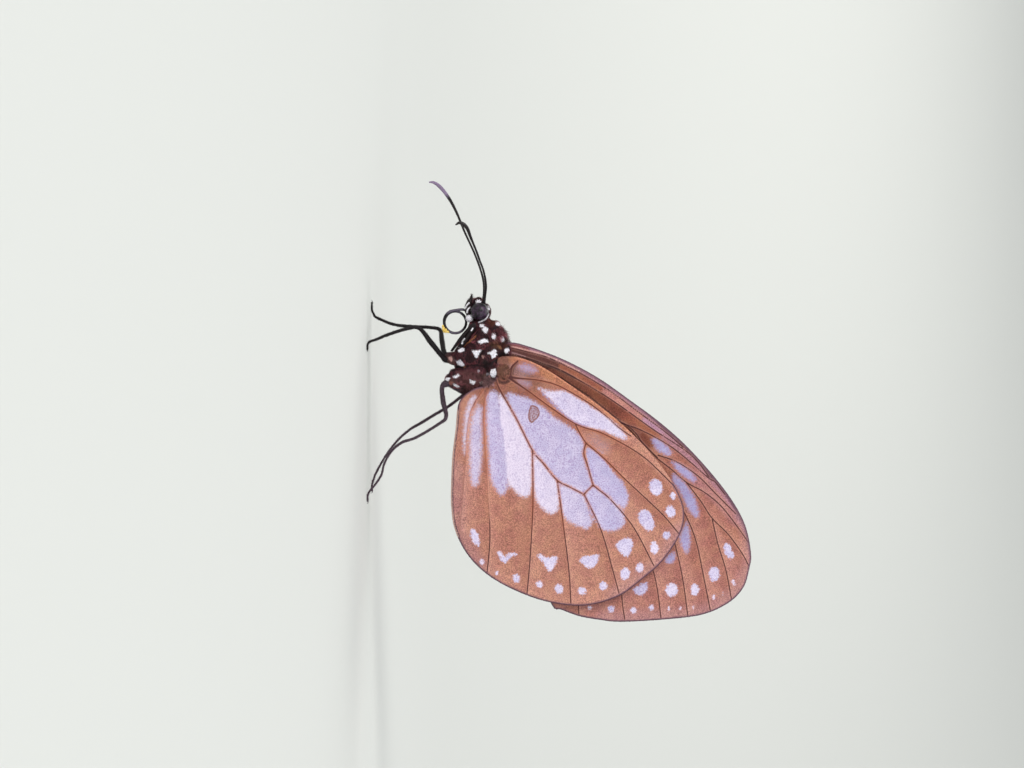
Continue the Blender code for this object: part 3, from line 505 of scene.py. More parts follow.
# Limbs: column, row, side of the mid-plane and radius
WALKING_LEGS = {
    "midleg_left": [
        (456, 358, -1.0, 0.62), (446, 359, -1.4, 0.5), (442, 356, -1.7, 0.33), (431.5, 343, -2.9, 0.35),
        (420, 328.8, -4.0, 0.25), (408, 329, -4.3, 0.22), (389, 335, -4.9, 0.21),
        (377, 340, -5.3, 0.18), (371.5, 342, -5.6, 0.155), (369.2, 345, -6.0, 0.14),
        (369.2, 350, -6.5, 0.12)],
    "midleg_right": [
        (455.6, 355.8, 1.0, 0.62), (446.4, 355.7, 1.6, 0.5), (443.3, 351.7, 2.1, 0.33),
        (440.9, 340.3, 4.0, 0.34), (438.5, 328.9, 5.8, 0.25), (428.3, 326.3, 5.9, 0.22),
        (415, 325.6, 6.0, 0.215), (392.6, 323.5, 5.8, 0.205), (374.3, 316.4, 5.6, 0.18),
        (371, 312.5, 5.5, 0.15), (369.2, 308, 5.5, 0.14), (369.2, 300.5, 5.5, 0.12)],
    "hindleg_left": [
        (456, 380, -0.9, 0.62), (446, 383.5, -1.4, 0.5), (442, 388, -1.8, 0.3),
        (443.5, 402, -3.2, 0.34), (446.5, 416.6, -4.4, 0.25), (439.5, 423.5, -4.7, 0.19),
        (417, 436.9, -5.0, 0.18), (402.4, 442.2, -5.2, 0.18), (391.9, 451.4, -5.4, 0.15),
        (385.3, 463.4, -5.5, 0.14), (382.7, 473.9, -5.6, 0.14), (376.8, 483.2, -5.7, 0.135),
        (371.5, 489.5, -5.75, 0.13), (369.2, 494.5, -5.8, 0.13), (369.2, 500.5, -5.9, 0.12)],
    "hindleg_right": [
        (456, 379, 0.9, 0.62), (448, 382, 1.5, 0.5), (451, 386, 2.2, 0.3), (458.6, 390.2, 3.6, 0.34),
        (463.1, 394.2, 4.8, 0.25), (457.6, 399, 5.0, 0.2), (446.3, 407.4, 5.0, 0.195),
        (432.6, 415.6, 5.1, 0.19), (419.3, 423.7, 5.2, 0.19), (408.1, 430.3, 5.3, 0.16),
        (394.8, 442.1, 5.4, 0.15), (382.5, 458.4, 5.5, 0.145), (373.5, 474.5, 5.6, 0.14),
        (370.6, 482, 5.6, 0.135), (369.2, 487.5, 5.7, 0.13), (369.2, 493.5, 5.8, 0.12)]}
FORELEG = [
    (458, 350.5, 1.5, 0.34), (465, 340, 2.2, 0.34), (472, 329.5, 2.45, 0.28), (474.5, 325.5, 2.5, 0.24),
    (473, 325, 2.6, 0.22), (467, 331, 2.6, 0.23), (459.5, 340, 2.4, 0.2), (451, 351, 1.9, 0.09)]

ANTENNA_LEFT = [
    (483.9, 303, -0.4, 0.2), (485.1, 294.2, -0.8, 0.17), (486, 286.6, -1.8, 0.15),
    (485.3, 278.9, -3.0, 0.145), (483.4, 270.5, -4.4, 0.14), (480.3, 262.4, -5.8, 0.14),
    (477.3, 254.2, -7.4, 0.145), (474.3, 246.9, -9.0, 0.15), (471.3, 239.8, -10.6, 0.19),
    (468.4, 232.5, -12.0, 0.24), (464.6, 228.7, -13.0, 0.25), (461, 227.8, -13.8, 0.2),
    (457.5, 230, -14.3, 0.08)]
ANTENNA_RIGHT = [
    (482.6, 303, 0.4, 0.2), (483.8, 292.3, 0.7, 0.17), (483.4, 281.8, 1.0, 0.15),
    (481.3, 272, 1.6, 0.145), (478, 262.1, 2.2, 0.14), (473.9, 251.5, 2.8, 0.14),
    (469, 240.7, 3.4, 0.14), (464.1, 230, 4.0, 0.145), (460, 220.1, 4.5, 0.155),
    (455.9, 210.1, 5.0, 0.175), (450.1, 198.5, 5.5, 0.21), (443.5, 188.5, 6.0, 0.245),
    (437.7, 181.9, 6.3, 0.25), (432.1, 178.1, 6.5, 0.2), (427.1, 177.6, 6.6, 0.08)]
PALP = [
    (473, 316, 0.80, 0.24), (468.8, 313.6, 0.88, 0.33), (467.3, 308.5, 0.88, 0.40),
    (469, 302, 0.80, 0.34), (471, 298, 0.7, 0.2), (471.6, 294, 0.66, 0.05)]
# Limbs with white streaks: path and its step, sides of the tube, half width of a streak, colours, hairs
SMALL_LIMBS = {
    "palp": {
        "path": PALP, "step": 0.04, "sides": 24, "skin": (30, 17, 19), "slot": "body",
        "streaks": PALP_STREAKS, "streak_half": 0.055,
        "hair": (34, 20, 20), "hairs": 260, "hair_length": 0.26},
    "foreleg": {
        "path": FORELEG, "step": 0.05, "sides": 20, "skin": (22, 11, 14), "slot": "leg",
        "streaks": FORELEG_STREAKS, "streak_half": 0.05,
        "hair": (28, 15, 17), "hairs": 420, "hair_length": 0.2}}
# A claw: way ahead, way out, way up and radius
CLAW = [(0.0, 0.0, 0.0, 0.05), (0.16, 0.06, 0.05, 0.042), (0.30, 0.09, 0.0, 0.028), (0.36, 0.10, -0.11, 0.01)]
TUBE_SIDES = 16
# Walking legs: where the foot starts, its joints, and bristles
TARSUS_START = 0.66
TARSUS_JOINT = 0.95
TARSUS_JOINT_DEPTH = 0.12
BRISTLES_PER_MM = 85
BRISTLE_LENGTH = 0.26
# Feelers: length and depth of a ring, where the right one's lilac club starts, number and length of scales
FEELER_RING = 0.36
FEELER_RING_DEPTH = 0.09
CLUB_START = 0.8
FEELER_SCALES = 700
FEELER_SCALE_LENGTH = 0.07

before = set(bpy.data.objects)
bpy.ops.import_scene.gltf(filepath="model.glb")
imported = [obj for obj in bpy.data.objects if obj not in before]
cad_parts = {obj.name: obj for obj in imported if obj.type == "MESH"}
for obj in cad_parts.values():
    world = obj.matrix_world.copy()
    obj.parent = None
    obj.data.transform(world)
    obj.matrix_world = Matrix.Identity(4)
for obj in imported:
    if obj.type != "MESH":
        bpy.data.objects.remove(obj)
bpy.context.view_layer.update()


def linear(colour):
    """A screen colour, 0 to 255, as linear light."""
    parts = np.array(colour) / 255.0
    return np.where(parts <= 0.04045, parts / 12.92, ((parts + 0.055) / 1.055) ** 2.4)


def blend(first, second, share):
    """Linear light between two screen colours, one row for each share."""
    return linear(first) + share[:, None] * (linear(second) - linear(first))


def dye(tint, share, wanted):
    """Move rows of linear light towards wanted, each by its own share."""
    tint += share[:, None] * (wanted - tint)


def flat(column, row):
    """A point of the side view as (x, z)."""
    return np.array([(row - MIDDLE_ROW) / PER_MM, (column - FLOOR_COLUMN) / PER_MM])


def drawn(places):
    """Points of the side view, from their columns and rows."""
    return np.array([flat(*place) for place in places])


def lift(points, side):
    """A point or points of the side view stood side to the right of the mid-plane."""
    points = np.asarray(points)
    spread = np.broadcast_arrays(points[..., 0], MIDPLANE_Y + side, points[..., 1])
    return np.stack(spread, axis=-1)


def unit(ways):
    return ways / np.maximum(np.linalg.norm(ways, axis=-1, keepdims=True), 1e-6)


def smooth(points, step, closed=False):
    """Points about step apart on a smooth curve through the given ones."""
    points = [np.asarray(point, float) for point in points]
    count = len(points)
    result = []
    for index in range(count if closed else count - 1):
        start = points[index]
        end = points[(index + 1) % count]
        before = points[index - 1] if closed or index else 2 * start - end
        after = points[(index + 2) % count] if closed or index + 2 < count else 2 * end - start
        steps = max(1, round(np.linalg.norm(end - start) / step))
        for number in range(steps):
            t = number / steps
            bend = (2 * before - 5 * start + 4 * end - after) * t ** 2
            twist = (3 * start - before - 3 * end + after) * t ** 3
            result.append((2 * start + (end - before) * t + bend + twist) / 2)
    if not closed:
        result.append(points[-1])
    return np.array(result)


def ease(value):
    value = np.clip(value, 0.0, 1.0)
    return value * value * (3.0 - 2.0 * value)


def near(distance, full, fade):
    """1 up to the distance full, and down to 0 over fade beyond it."""
    return 1.0 - ease((distance - full) / fade)


def line_distance(points, line):
    """How far each point is from a line through points."""
    best = np.full(len(points), np.inf)
    for start, end in zip(line[:-1], line[1:]):
        along = end - start
        offset = points - start
        share = np.clip(offset @ along / max(along @ along, 1e-12), 0.0, 1.0)
        away = offset - share[:, None] * along
        best = np.minimum(best, np.sqrt((away ** 2).sum(axis=1)))
    return best


def lines_distance(points, lines):
    """How far each point is from the nearest of several lines."""
    return np.min([line_distance(points, line) for line in lines], axis=0)


def ring_distance(points, ring):
    """How far each point is from a closed ring, negative inside it."""
    within = np.zeros(len(points), bool)
    for start, end in zip(ring, np.roll(ring, -1, axis=0)):
        rise = end[1] - start[1]
        if rise:
            spans = (start[1] > points[:, 1]) != (end[1] > points[:, 1])
            across = start[0] + (points[:, 1] - start[1]) * (end[0] - start[0]) / rise
            within ^= spans & (across > points[:, 0])
    away = line_distance(points, np.vstack([ring, ring[:1]]))
    return np.where(within, -away, away)


def oval(centre, width, height, tilt):
    """The ring of a tilted oval of the side view."""
    turn = math.radians(tilt)
    ring = []
    for angle in np.linspace(0.0, math.tau, OVAL_POINTS, endpoint=False):
        across = math.cos(angle) * width / 2 / PER_MM
        down = math.sin(angle) * height / 2 / PER_MM
        ring.append(centre + [down * math.cos(turn) + across * math.sin(turn),
                              across * math.cos(turn) - down * math.sin(turn)])
    return np.array(ring)


def new_object(name, mesh):
    made = bpy.data.objects.new(name, mesh)
    bpy.context.scene.collection.objects.link(made)
    return made


def object_from(work, name):
    """A smooth-shaded object from the mesh under work."""
    mesh = bpy.data.meshes.new(name)
    work.to_mesh(mesh)
    work.free()
    mesh.shade_smooth()
    return new_object(name, mesh)


def mesh_from(name, corners, faces, shade_smooth=True):
    """A mesh object from corners in millimetres."""
    mesh = bpy.data.meshes.new(name)
    mesh.from_pydata((np.asarray(corners) * MM).tolist(), [], faces)
    if shade_smooth:
        mesh.shade_smooth()
    return new_object(name, mesh)


def store(item, name, values):
    """Keep one value, or one row of linear light, for each corner of a mesh."""
    values = np.asarray(values, np.float32)
    kind, key = "FLOAT", "value"
    if values.ndim == 2:
        kind, key = "FLOAT_COLOR", "color"
        values = np.hstack([values, np.ones((len(values), 1), np.float32)])
    item.data.attributes.new(name, kind, "POINT").data.foreach_set(key, values.ravel())


def corners_of(item):
    """The corners of a mesh in millimetres."""
    places = np.empty(len(item.data.vertices) * 3, np.float32)
    item.data.vertices.foreach_get("co", places)
    return places.reshape(-1, 3).astype(float) / MM


def move_corners(item, places):
    item.data.vertices.foreach_set("co", (places * MM).astype(np.float32).ravel())


def bake_map(item, places):
    """The UV map named OFBake, from one (u, v) for each corner."""
    layer = item.data.uv_layers.new(name="OFBake")
    corner = np.empty(len(item.data.loops), np.int32)
    item.data.loops.foreach_get("vertex_index", corner)
    layer.data.foreach_set("uv", np.asarray(places, np.float32)[corner].ravel())


def present(item, material, replaced=()):
    """Give a piece its finish, hide the parts it replaces and attach it to the root."""
    item.data.materials.clear()
    item.data.materials.append(material)
    if replaced:
        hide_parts(*replaced)
    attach(item, "root")


# Shader building

def node(tree, kind, settings=None, inputs=None):
    made = tree.nodes.new("ShaderNode" + kind)
    for name, value in (settings or {}).items():
        setattr(made, name, value)
    for name, value in (inputs or {}).items():
        if isinstance(value, bpy.types.NodeSocket):
            tree.links.new(value, made.inputs[name])
        else:
            made.inputs[name].default_value = value
    return made


def tree_of(*values):
    """The node tree of the first socket among values."""
    return next(value.id_data for value in values if isinstance(value, bpy.types.NodeSocket))


def mix(factor, first, second):
    """Blend two colours, each a socket or linear red, green and blue."""
    first, second = (value if isinstance(value, bpy.types.NodeSocket) else (*value, 1.0)
                     for value in (first, second))
    return node(tree_of(factor), "Mix", {"data_type": "RGBA"}, {0: factor, 6: first, 7: second}).outputs[2]


def calculate(operation, first, second=0.0, third=0.0):
    inputs = {0: first, 1: second, 2: third}
    return node(tree_of(first, second, third), "Math", {"operation": operation}, inputs).outputs[0]


plus = partial(calculate, "ADD")
minus = partial(calculate, "SUBTRACT")
times = partial(calculate, "MULTIPLY")
times_plus = partial(calculate, "MULTIPLY_ADD")


def step_map(value, low, high, start=0.0, end=1.0):
    """A smooth step of value from low to high."""
    inputs = {"Value": value, "From Min": low, "From Max": high, "To Min": start, "To Max": end}
    return node(tree_of(value), "MapRange", {"interpolation_type": "SMOOTHSTEP"}, inputs).outputs[0]


def noise(place, scale, detail=2.0, roughness=0.5):
    inputs = {"Vector": place, "Scale": scale, "Detail": detail, "Roughness": roughness}
    return node(tree_of(place), "TexNoise", None, inputs).outputs["Fac"]


def read(place, name, output="Fac"):
    """A value that store kept on the mesh."""
    return node(tree_of(place), "Attribute", {"attribute_name": name}).outputs[output]


def varied(colour, **changes):
    return node(tree_of(colour), "HueSaturation", None, {"Color": colour, **changes}).outputs[0]


def new_material(name, roughness, specular=0.5, sheen=0.0, coat=0.0):
    """A material, its main shader and its place in millimetres."""
    made = bpy.data.materials.new(name)
    made.use_nodes = True
    tree = made.node_tree
    shader = tree.nodes["Principled BSDF"]
    for key, value in (("Roughness", roughness), ("Specular IOR Level", specular),
                       ("Sheen Weight", sheen), ("Coat Weight", coat)):
        shader.inputs[key].default_value = value
    coordinates = node(tree, "TexCoord").outputs["Object"]
    place = node(tree, "VectorMath", {"operation": "SCALE"}, {0: coordinates, "Scale": 1.0 / MM})
    return made, shader, place.outputs[0]


def finish(made, shader, colour, height=None, rise=0.0, strength=1.0):
    """Link a material's colour, and raise its surface by height times rise, in millimetres."""
    tree = shader.id_data
    tree.links.new(colour, shader.inputs["Base Color"])
    if height is not None:
        inputs = {"Height": height, "Distance": rise * MM, "Strength": strength}
        tree.links.new(node(tree, "Bump", None, inputs).outputs[0], shader.inputs["Normal"])
    return made


def wing_material():
    made, shader, place = new_material("wing_scales", 0.62, specular=0.3, sheen=0.1)
    grain = noise(place, 8.0, 2.0, 0.7)
    speckle = noise(place, 6.5, 2.0, 0.75)
    mottle = noise(place, 0.6, 4.0, 0.65)
    torn = minus(noise(place, 3.4, 3.0, 0.75), 0.5)
    uneven = minus(grain, 0.5)
    dark, soft, pale_edge, lined = (read(place, name) for name in ("outer", "soft", "margin", "lined"))
    brightness = plus(step_map(grain, 0.3, 0.7, 0.52, 1.44), step_map(mottle, 0.35, 0.65, -0.08, 0.08))
    shade = varied(read(place, "ground", "Color"), Value=brightness,
                   Hue=step_map(mottle, 0.35, 0.65, 0.493, 0.505))

    # Pale marks, blue where they are cloudy
    cloudy = plus(read(place, "blue"), step_map(mottle, 0.35, 0.65, -0.12, 0.12))
    cloudy = calculate("MAXIMUM", cloudy)
    pale = mix(cloudy, linear(LILAC_WHITE), linear(LILAC_BLUE))
    specks = times(step_map(speckle, 0.44, 0.64, 0.0, 0.85), step_map(cloudy, 0.0, 0.5, 0.55, 1.0))
    pale = mix(specks, pale, linear(SPECK_VIOLET))
    dust = times(times(uneven, soft), 2.2)
    edge = plus(read(place, "mark"), times_plus(torn, 0.9, dust))
    edge = plus(edge, times(uneven, 0.35))
    mask = step_map(calculate("DIVIDE", edge, plus(soft, 0.03)), -1.0, 0.8, 1.0, 0.0)
    faint = minus(1.0, times(times(soft, soft), 0.6))
    colour = mix(times(mask, faint), shade, pale)

    # Veins, with a pale brown halo
    near_vein = times_plus(torn, 0.07, read(place, "vein"))
    halo_strength = times_plus(dark, -0.3, 0.5)
    colour = mix(step_map(near_vein, 0.08, 0.32, halo_strength, 0.0), colour,
                 mix(dark, linear(VEIN_HALO), linear(SALMON)))
    colour = mix(step_map(near_vein, 0.035, 0.115, 0.96, 0.0), colour,
                 mix(dark, linear(VEIN_BROWN), linear(VEIN_DARK)))

    # The rim's mauve band and dark line, which moves inwards and breaks up along a pale edge
    from_edge = times_plus(torn, 0.10, read(place, "rim"))
    colour = mix(times(pale_edge, step_map(from_edge, 0.2, 0.28, 0.85, 0.0)), colour, linear(FRINGE_PALE))
    line_at = calculate("ABSOLUTE", times_plus(pale_edge, -0.24, from_edge))
    line_at = plus(line_at, times(pale_edge, step_map(speckle, 0.5, 0.6, 0.0, 0.1)))
    banded = times(lined, times_plus(pale_edge, -0.9, 1.0))
    colour = mix(times(banded, step_map(line_at, 0.10, 0.36, 0.75, 0.0)), colour, linear(RIM_MAUVE))
    thin_line = times(line_at, times_plus(pale_edge, 0.35, 1.0))
    colour = mix(times(lined, step_map(thin_line, 0.05, 0.20, 0.9, 0.0)), colour, linear(RIM_DARK))

    # The brown ring of the left hindwing
    scar = times_plus(torn, 0.2, read(place, "scar"))
    scrawl = times(step_map(scar, -0.05, 0.05, 1.0, 0.0), step_map(speckle, 0.44, 0.56, 0.4, 0.85))
    colour = mix(scrawl, colour, linear(RING_BROWN))
    colour = mix(step_map(calculate("ABSOLUTE", scar), 0.05, 0.13, 0.9, 0.0), colour, linear(RING_BROWN))
    return finish(made, shader, colour, times_plus(mask, 0.5, grain), 0.03, 0.8)


def hair_material():
    made, shader, place = new_material("body_hair", 0.55, specular=0.15, sheen=0.02)
    streak = noise(place, 6.0)
    brightness = step_map(streak, 0.3, 0.7, 0.8, 1.2)
    return finish(made, shader, varied(read(place, "tint", "Color"), Value=brightness))


def skin_material(name, roughness):
    made, shader, place = new_material(name, roughness, specular=0.25)
    grain = noise(place, 9.0, 3.0, 0.6)
    mottle = noise(place, 1.4, 3.0)
    brightness = plus(step_map(grain, 0.3, 0.7, 0.7, 1.2), step_map(mottle, 0.3, 0.7, -0.1, 0.15))
    return finish(made, shader, varied(read(place, "tint", "Color"), Value=brightness), grain, 0.06, 0.8)


def horn_material(name, dark, light, roughness, grain_scale):
    """Dark horny skin with fine dull scales, for legs, feelers and tongue."""
    made, shader, place = new_material(name, roughness, specular=0.22)
    grain = noise(place, grain_scale, 3.0, 0.65)
    colour = mix(step_map(grain, 0.42, 0.75, 0.0, 0.8), linear(dark), linear(light))
    return finish(made, shader, colour, grain, 0.02, 0.6)


def eye_material():
    made, shader, place = new_material("compound_eye", 0.34, specular=0.3, coat=0.1)
    tree = tree_of(place)
    facets = node(tree, "TexVoronoi", None, {"Vector": place, "Scale": 26.0}).outputs["Distance"]
    clouds = noise(place, 1.9, 2.0, 0.6)
    blots = node(tree, "TexVoronoi", {"feature": "SMOOTH_F1"}, {
        "Vector": place, "Scale": 1.6, "Smoothness": 0.5}).outputs["Distance"]
    colour = mix(step_map(clouds, 0.42, 0.66), linear(EYE_DARK), linear(EYE_LIGHT))
    colour = mix(step_map(blots, 0.14, 0.34, 0.9, 0.0), colour, linear(EYE_BLOT))
    colour = mix(step_map(read(place, "edge"), 0.84, 0.95), colour, linear(EYE_RIM))
    return finish(made, shader, colour, facets, 0.02, 0.35)


# Wings

def wing_side(points, rest, flare):
    """How far a wing's middle surface stands from the mid-plane over points of the side view."""
    from_root = line_distance(points, drawn(WING_ROOTS))
    at_root = flare * near(from_root, 0.0, FLARE_REACH)
    at_abdomen = np.zeros(len(points))
    if rest == HINDWING_REST:
        from_abdomen = line_distance(points, drawn(ABDOMEN_LINE))
        at_abdomen = ABDOMEN_FLARE * near(from_abdomen, ABDOMEN_HALF, ABDOMEN_FLARE_REACH)
    bow = WING_BOW * np.sin(np.pi * np.minimum(1.0, from_root / FOREWING_LENGTH))
    return rest + np.maximum(at_root, at_abdomen) + bow


def vein_radius(points):
    away = np.sqrt(((points - flat(*WING_ROOT)) ** 2).sum(axis=1)) / FOREWING_LENGTH
    return VEIN_RADIUS_ROOT + (VEIN_RADIUS_TIP - VEIN_RADIUS_ROOT) * np.clip(away * 1.2, 0.0, 1.0)


def across_line(line):
    """Unit ways square to a line of the side view, one for each of its points."""
    ahead = np.gradient(line, axis=0)
    return unit(np.stack([-ahead[:, 1], ahead[:, 0]], axis=1))


def rim_ways(rim):
    """Unit ways along a closed rim and out of it, one for each of its points."""
    ahead = unit(np.roll(rim, -1, axis=0) - np.roll(rim, 1, axis=0))
    outward = np.stack([ahead[:, 1], -ahead[:, 0]], axis=1)
    if ring_distance(rim[:1] + outward[:1] * 0.2, rim)[0] < 0:
        outward = -outward
    return ahead, outward


def wing_plan(outline, veins, rings, strokes):
    """The rim, vein lines and triangles of a wing's side view."""
    rim = smooth(outline, RIM_STEP, closed=True)
    rim = rim - rim_ways(rim)[1] * RIM_INSET
    lines = [smooth(vein, VEIN_STEP) for vein in veins]

    clouds = []
    for line in lines:
        across = across_line(line)
        radius = vein_radius(line)[:, None]
        for share in SHARES_ACROSS_VEIN:
            spots = line + across * radius * share
            others = lines_distance(spots, [other for other in lines if other is not line])
            clouds.append(spots[others > abs(share) * radius[:, 0] * 0.95 - 1e-6])
    for line, half_width, fade, _, _ in strokes:
        if half_width + fade < NARROW_STROKE:
            line = smooth(line, VEIN_STEP)
            for reach in (0.0, half_width, half_width + fade):
                clouds += [line + across_line(line) * reach, line - across_line(line) * reach]
    for ring in rings:
        middle = ring.mean(axis=0)
        clouds.append(smooth(ring, 0.3, closed=True))
        clouds.append(smooth(middle + (ring - middle) * 0.6, 0.45, closed=True))
    low = rim.min(axis=0)
    high = rim.max(axis=0)
    grid = []
    for count in range(int((high[1] - low[1]) / (FILL_STEP * ROW_SPACING)) + 1):
        level = low[1] + count * FILL_STEP * ROW_SPACING
        start = low[0] + (count % 2) * FILL_STEP / 2
        grid += [(x, level) for x in np.arange(start, high[0], FILL_STEP)]
    grid = np.array(grid)
    clouds.append(grid[lines_distance(grid, lines) > CLEAR_OF_VEIN])
    cloud = np.vstack(clouds)
    cloud = cloud[ring_distance(cloud, rim) < -CLEAR_OF_RIM]

    points = [Vector(point) for point in np.vstack([rim, cloud])]
    edges = [(number, (number + 1) % len(rim)) for number in range(len(rim))]
    places, _, triangles, _, _, _ = geometry.delaunay_2d_cdt(points, edges, [], 1, 1e-6)
    return rim, lines, np.array([tuple(place) for place in places]), np.array(triangles)


def pleats(points, lines):
    """How near each point is to a vein: above 0 on the side that catches the light, below 0 on the other."""
    nearest = np.full(len(points), np.inf)
    side = np.zeros(len(points))
    for line in lines:
        for start, end in zip(line[:-1], line[1:]):
            along = end - start
            offset = points - start
            share = np.clip(offset @ along / (along @ along), 0.0, 1.0)
            away = np.sqrt(((offset - share[:, None] * along) ** 2).sum(axis=1))
            turn = along[0] * offset[:, 1] - along[1] * offset[:, 0]
            side = np.where(away < nearest, np.sign(turn), side)
            nearest = np.minimum(nearest, away)
    return side * np.exp(-nearest / PLEAT_REACH)


def wing_looks(points, rim, lines, marks, strokes, base, edges):
    """Values over a wing that its material reads."""
    pale_edge, bare_edge, brown_veins, faint_veins, _ = edges
    ground = np.tile(linear(base), (len(points), 1))
    # Painted light and shade: a lighter band on the lit side of each vein and a darker band on the shaded
    # side
    pleat_light_and_shade = pleats(points, lines)
    dye(ground, np.maximum(pleat_light_and_shade, 0.0) * PLEAT_PAINTED_LIGHT, linear(SALMON))
    dye(ground, np.maximum(-pleat_light_and_shade, 0.0) * PLEAT_PAINTED_SHADE, linear(BROWN))
    for line, half_width, fade, colour, strength in strokes:
        away = line_distance(points, smooth(line, 0.6))
        dye(ground, strength * near(away, half_width, fade), linear(colour))
    mark = np.full(len(points), FAR)
    blue = np.zeros(len(points))
    soft = np.full(len(points), 0.1)
    for ring, blueness, softness, growth in marks:
        away = ring_distance(points, ring) - growth
        closer = away < mark
        mark = np.where(closer, away, mark)
        blue = np.where(closer, blueness, blue)
        soft = np.where(closer, softness, soft)
    from_joint = np.linalg.norm(points - flat(*VEINS_JOIN), axis=1)
    from_brown = line_distance(points, brown_veins)
    thicker = 0.09 * near(from_joint, 0.0, 4.0)
    thinner = FAINT_VEIN_FADE * near(line_distance(points, faint_veins), 0.5, 1.5)
    return {
        "ground": ground, "mark": mark, "blue": blue, "soft": soft,
        "outer": np.maximum(ease((from_brown - 6.0) / 6.0), 0.75 * near(from_joint, 0.0, 5.0)),
        "vein": lines_distance(points, lines) - thicker + thinner,
        "rim": -ring_distance(points, rim),
        "lined": 1.0 - near(line_distance(points, bare_edge), 0.5, 0.5),
        "margin": near(line_distance(points, pale_edge), 1.0, 0.6)}


def wing_solid(name, side, points, triangles, centre, half, looks):
    """A thin closed wing from its plan, with the same triangles on both faces."""
    count = len(points)
    outer = lift(points, side * (centre + half))
    inner = lift(points, side * (centre - half))
    first = outer[triangles[0]]
    facing = np.cross(first[1] - first[0], first[2] - first[0])[1] * side > 0
    front = triangles if facing else triangles[:, ::-1]
    back = front[:, ::-1] + count
    sides = np.vstack([front[:, [0, 1]], front[:, [1, 2]], front[:, [2, 0]]])
    known = {tuple(pair) for pair in sides.tolist()}
    edge = [pair for pair in sides.tolist() if (pair[1], pair[0]) not in known]
    faces = front.tolist() + back.tolist()
    faces += [(b, a, a + count, b + count) for a, b in edge]
    made = mesh_from(name, np.vstack([outer, inner]), faces)
    for key, values in looks.items():
        store(made, key, np.concatenate([values, values]))
    scar = np.full(count * 2, FAR)
    if side < 0.0 and "hindwing" in name:
        scar[:count] = ring_distance(points, smooth(drawn(CELL_RING), 0.2, closed=True))
    store(made, "scar", scar)
    low = points.min(axis=0)
    share = (points - low) / (points.max(axis=0) - low)
    front_map = np.stack([0.01 + share[:, 0] * 0.48, 0.01 + share[:, 1] * 0.98], axis=1)
    bake_map(made, np.vstack([front_map, front_map + [0.5, 0.0]]))
    return made


def fringe(name, side, rim, centre_of, looks_of, pale_fringe, rng):
    """Short flat scales that stand out all round a wing's edge, pale along pale_fringe and dark elsewhere."""
    ahead, outward = rim_ways(rim)
    count = len(rim) * FRINGE_SCALES
    alongs, outs, spots = (np.repeat(values, FRINGE_SCALES, axis=0) for values in (ahead, outward, rim))
    spots = spots + alongs * rng.uniform(-0.17, 0.17, (count, 1))
    length = rng.uniform(0.35, 0.95, (count, 1)) * RIM_INSET
    lean = rng.normal(0.0, 0.25, (count, 1))
    width = rng.uniform(0.03, 0.055, (count, 1))
    depth = centre_of(spots)
    tips = spots + (outs + alongs * lean) * length
    corners = [lift(spots - outs * 0.05 + alongs * offset, side * (depth + rise))
               for offset, rise in ((-width, -0.03), (width, -0.03), (width * 0, 0.035))]
    corners.append(lift(tips, side * depth))
    corners = np.stack(corners, axis=1).reshape(-1, 3)
    faces = []
    for number in range(count):
        a, b, c, d = range(number * 4, number * 4 + 4)
        faces += [(a, b, c), (a, d, b), (b, d, c), (c, d, a)]
    made = mesh_from(name, corners, faces, shade_smooth=False)
    looks = looks_of(spots)
    looks["rim"] += FAR
    looks["vein"] += FAR
    pale = near(line_distance(spots, pale_fringe), 0.8, 0.6)
    share = rng.uniform(0.4, 1.0, count) * np.maximum(pale, looks["lined"])
    dye(looks["ground"], share, blend(RIM_DARK, FRINGE_PALE, pale))
    for key, values in looks.items():
        store(made, key, np.repeat(values, 4, axis=0))
    store(made, "scar", np.full(count * 4, FAR))
    low = rim.min(axis=0)
    share = (spots - low) / (rim.max(axis=0) - low)
    bake_map(made, np.repeat(0.02 + share * 0.96, 4, axis=0) + np.tile(FRINGE_PATCH, (count, 1)))
    return made


def in_depth(line, rest):
    """Picture points on a wing as points of the side view, its depth from the reference plane allowed for."""
    share = 1.0 + (MIDPLANE_Y - rest - 0.6 * WING_BOW - FACING_WING_Y) / CAMERA_DISTANCE
    middle = np.array(PICTURE_CENTRE)
    return drawn(middle + (np.array(line) - middle) * share)


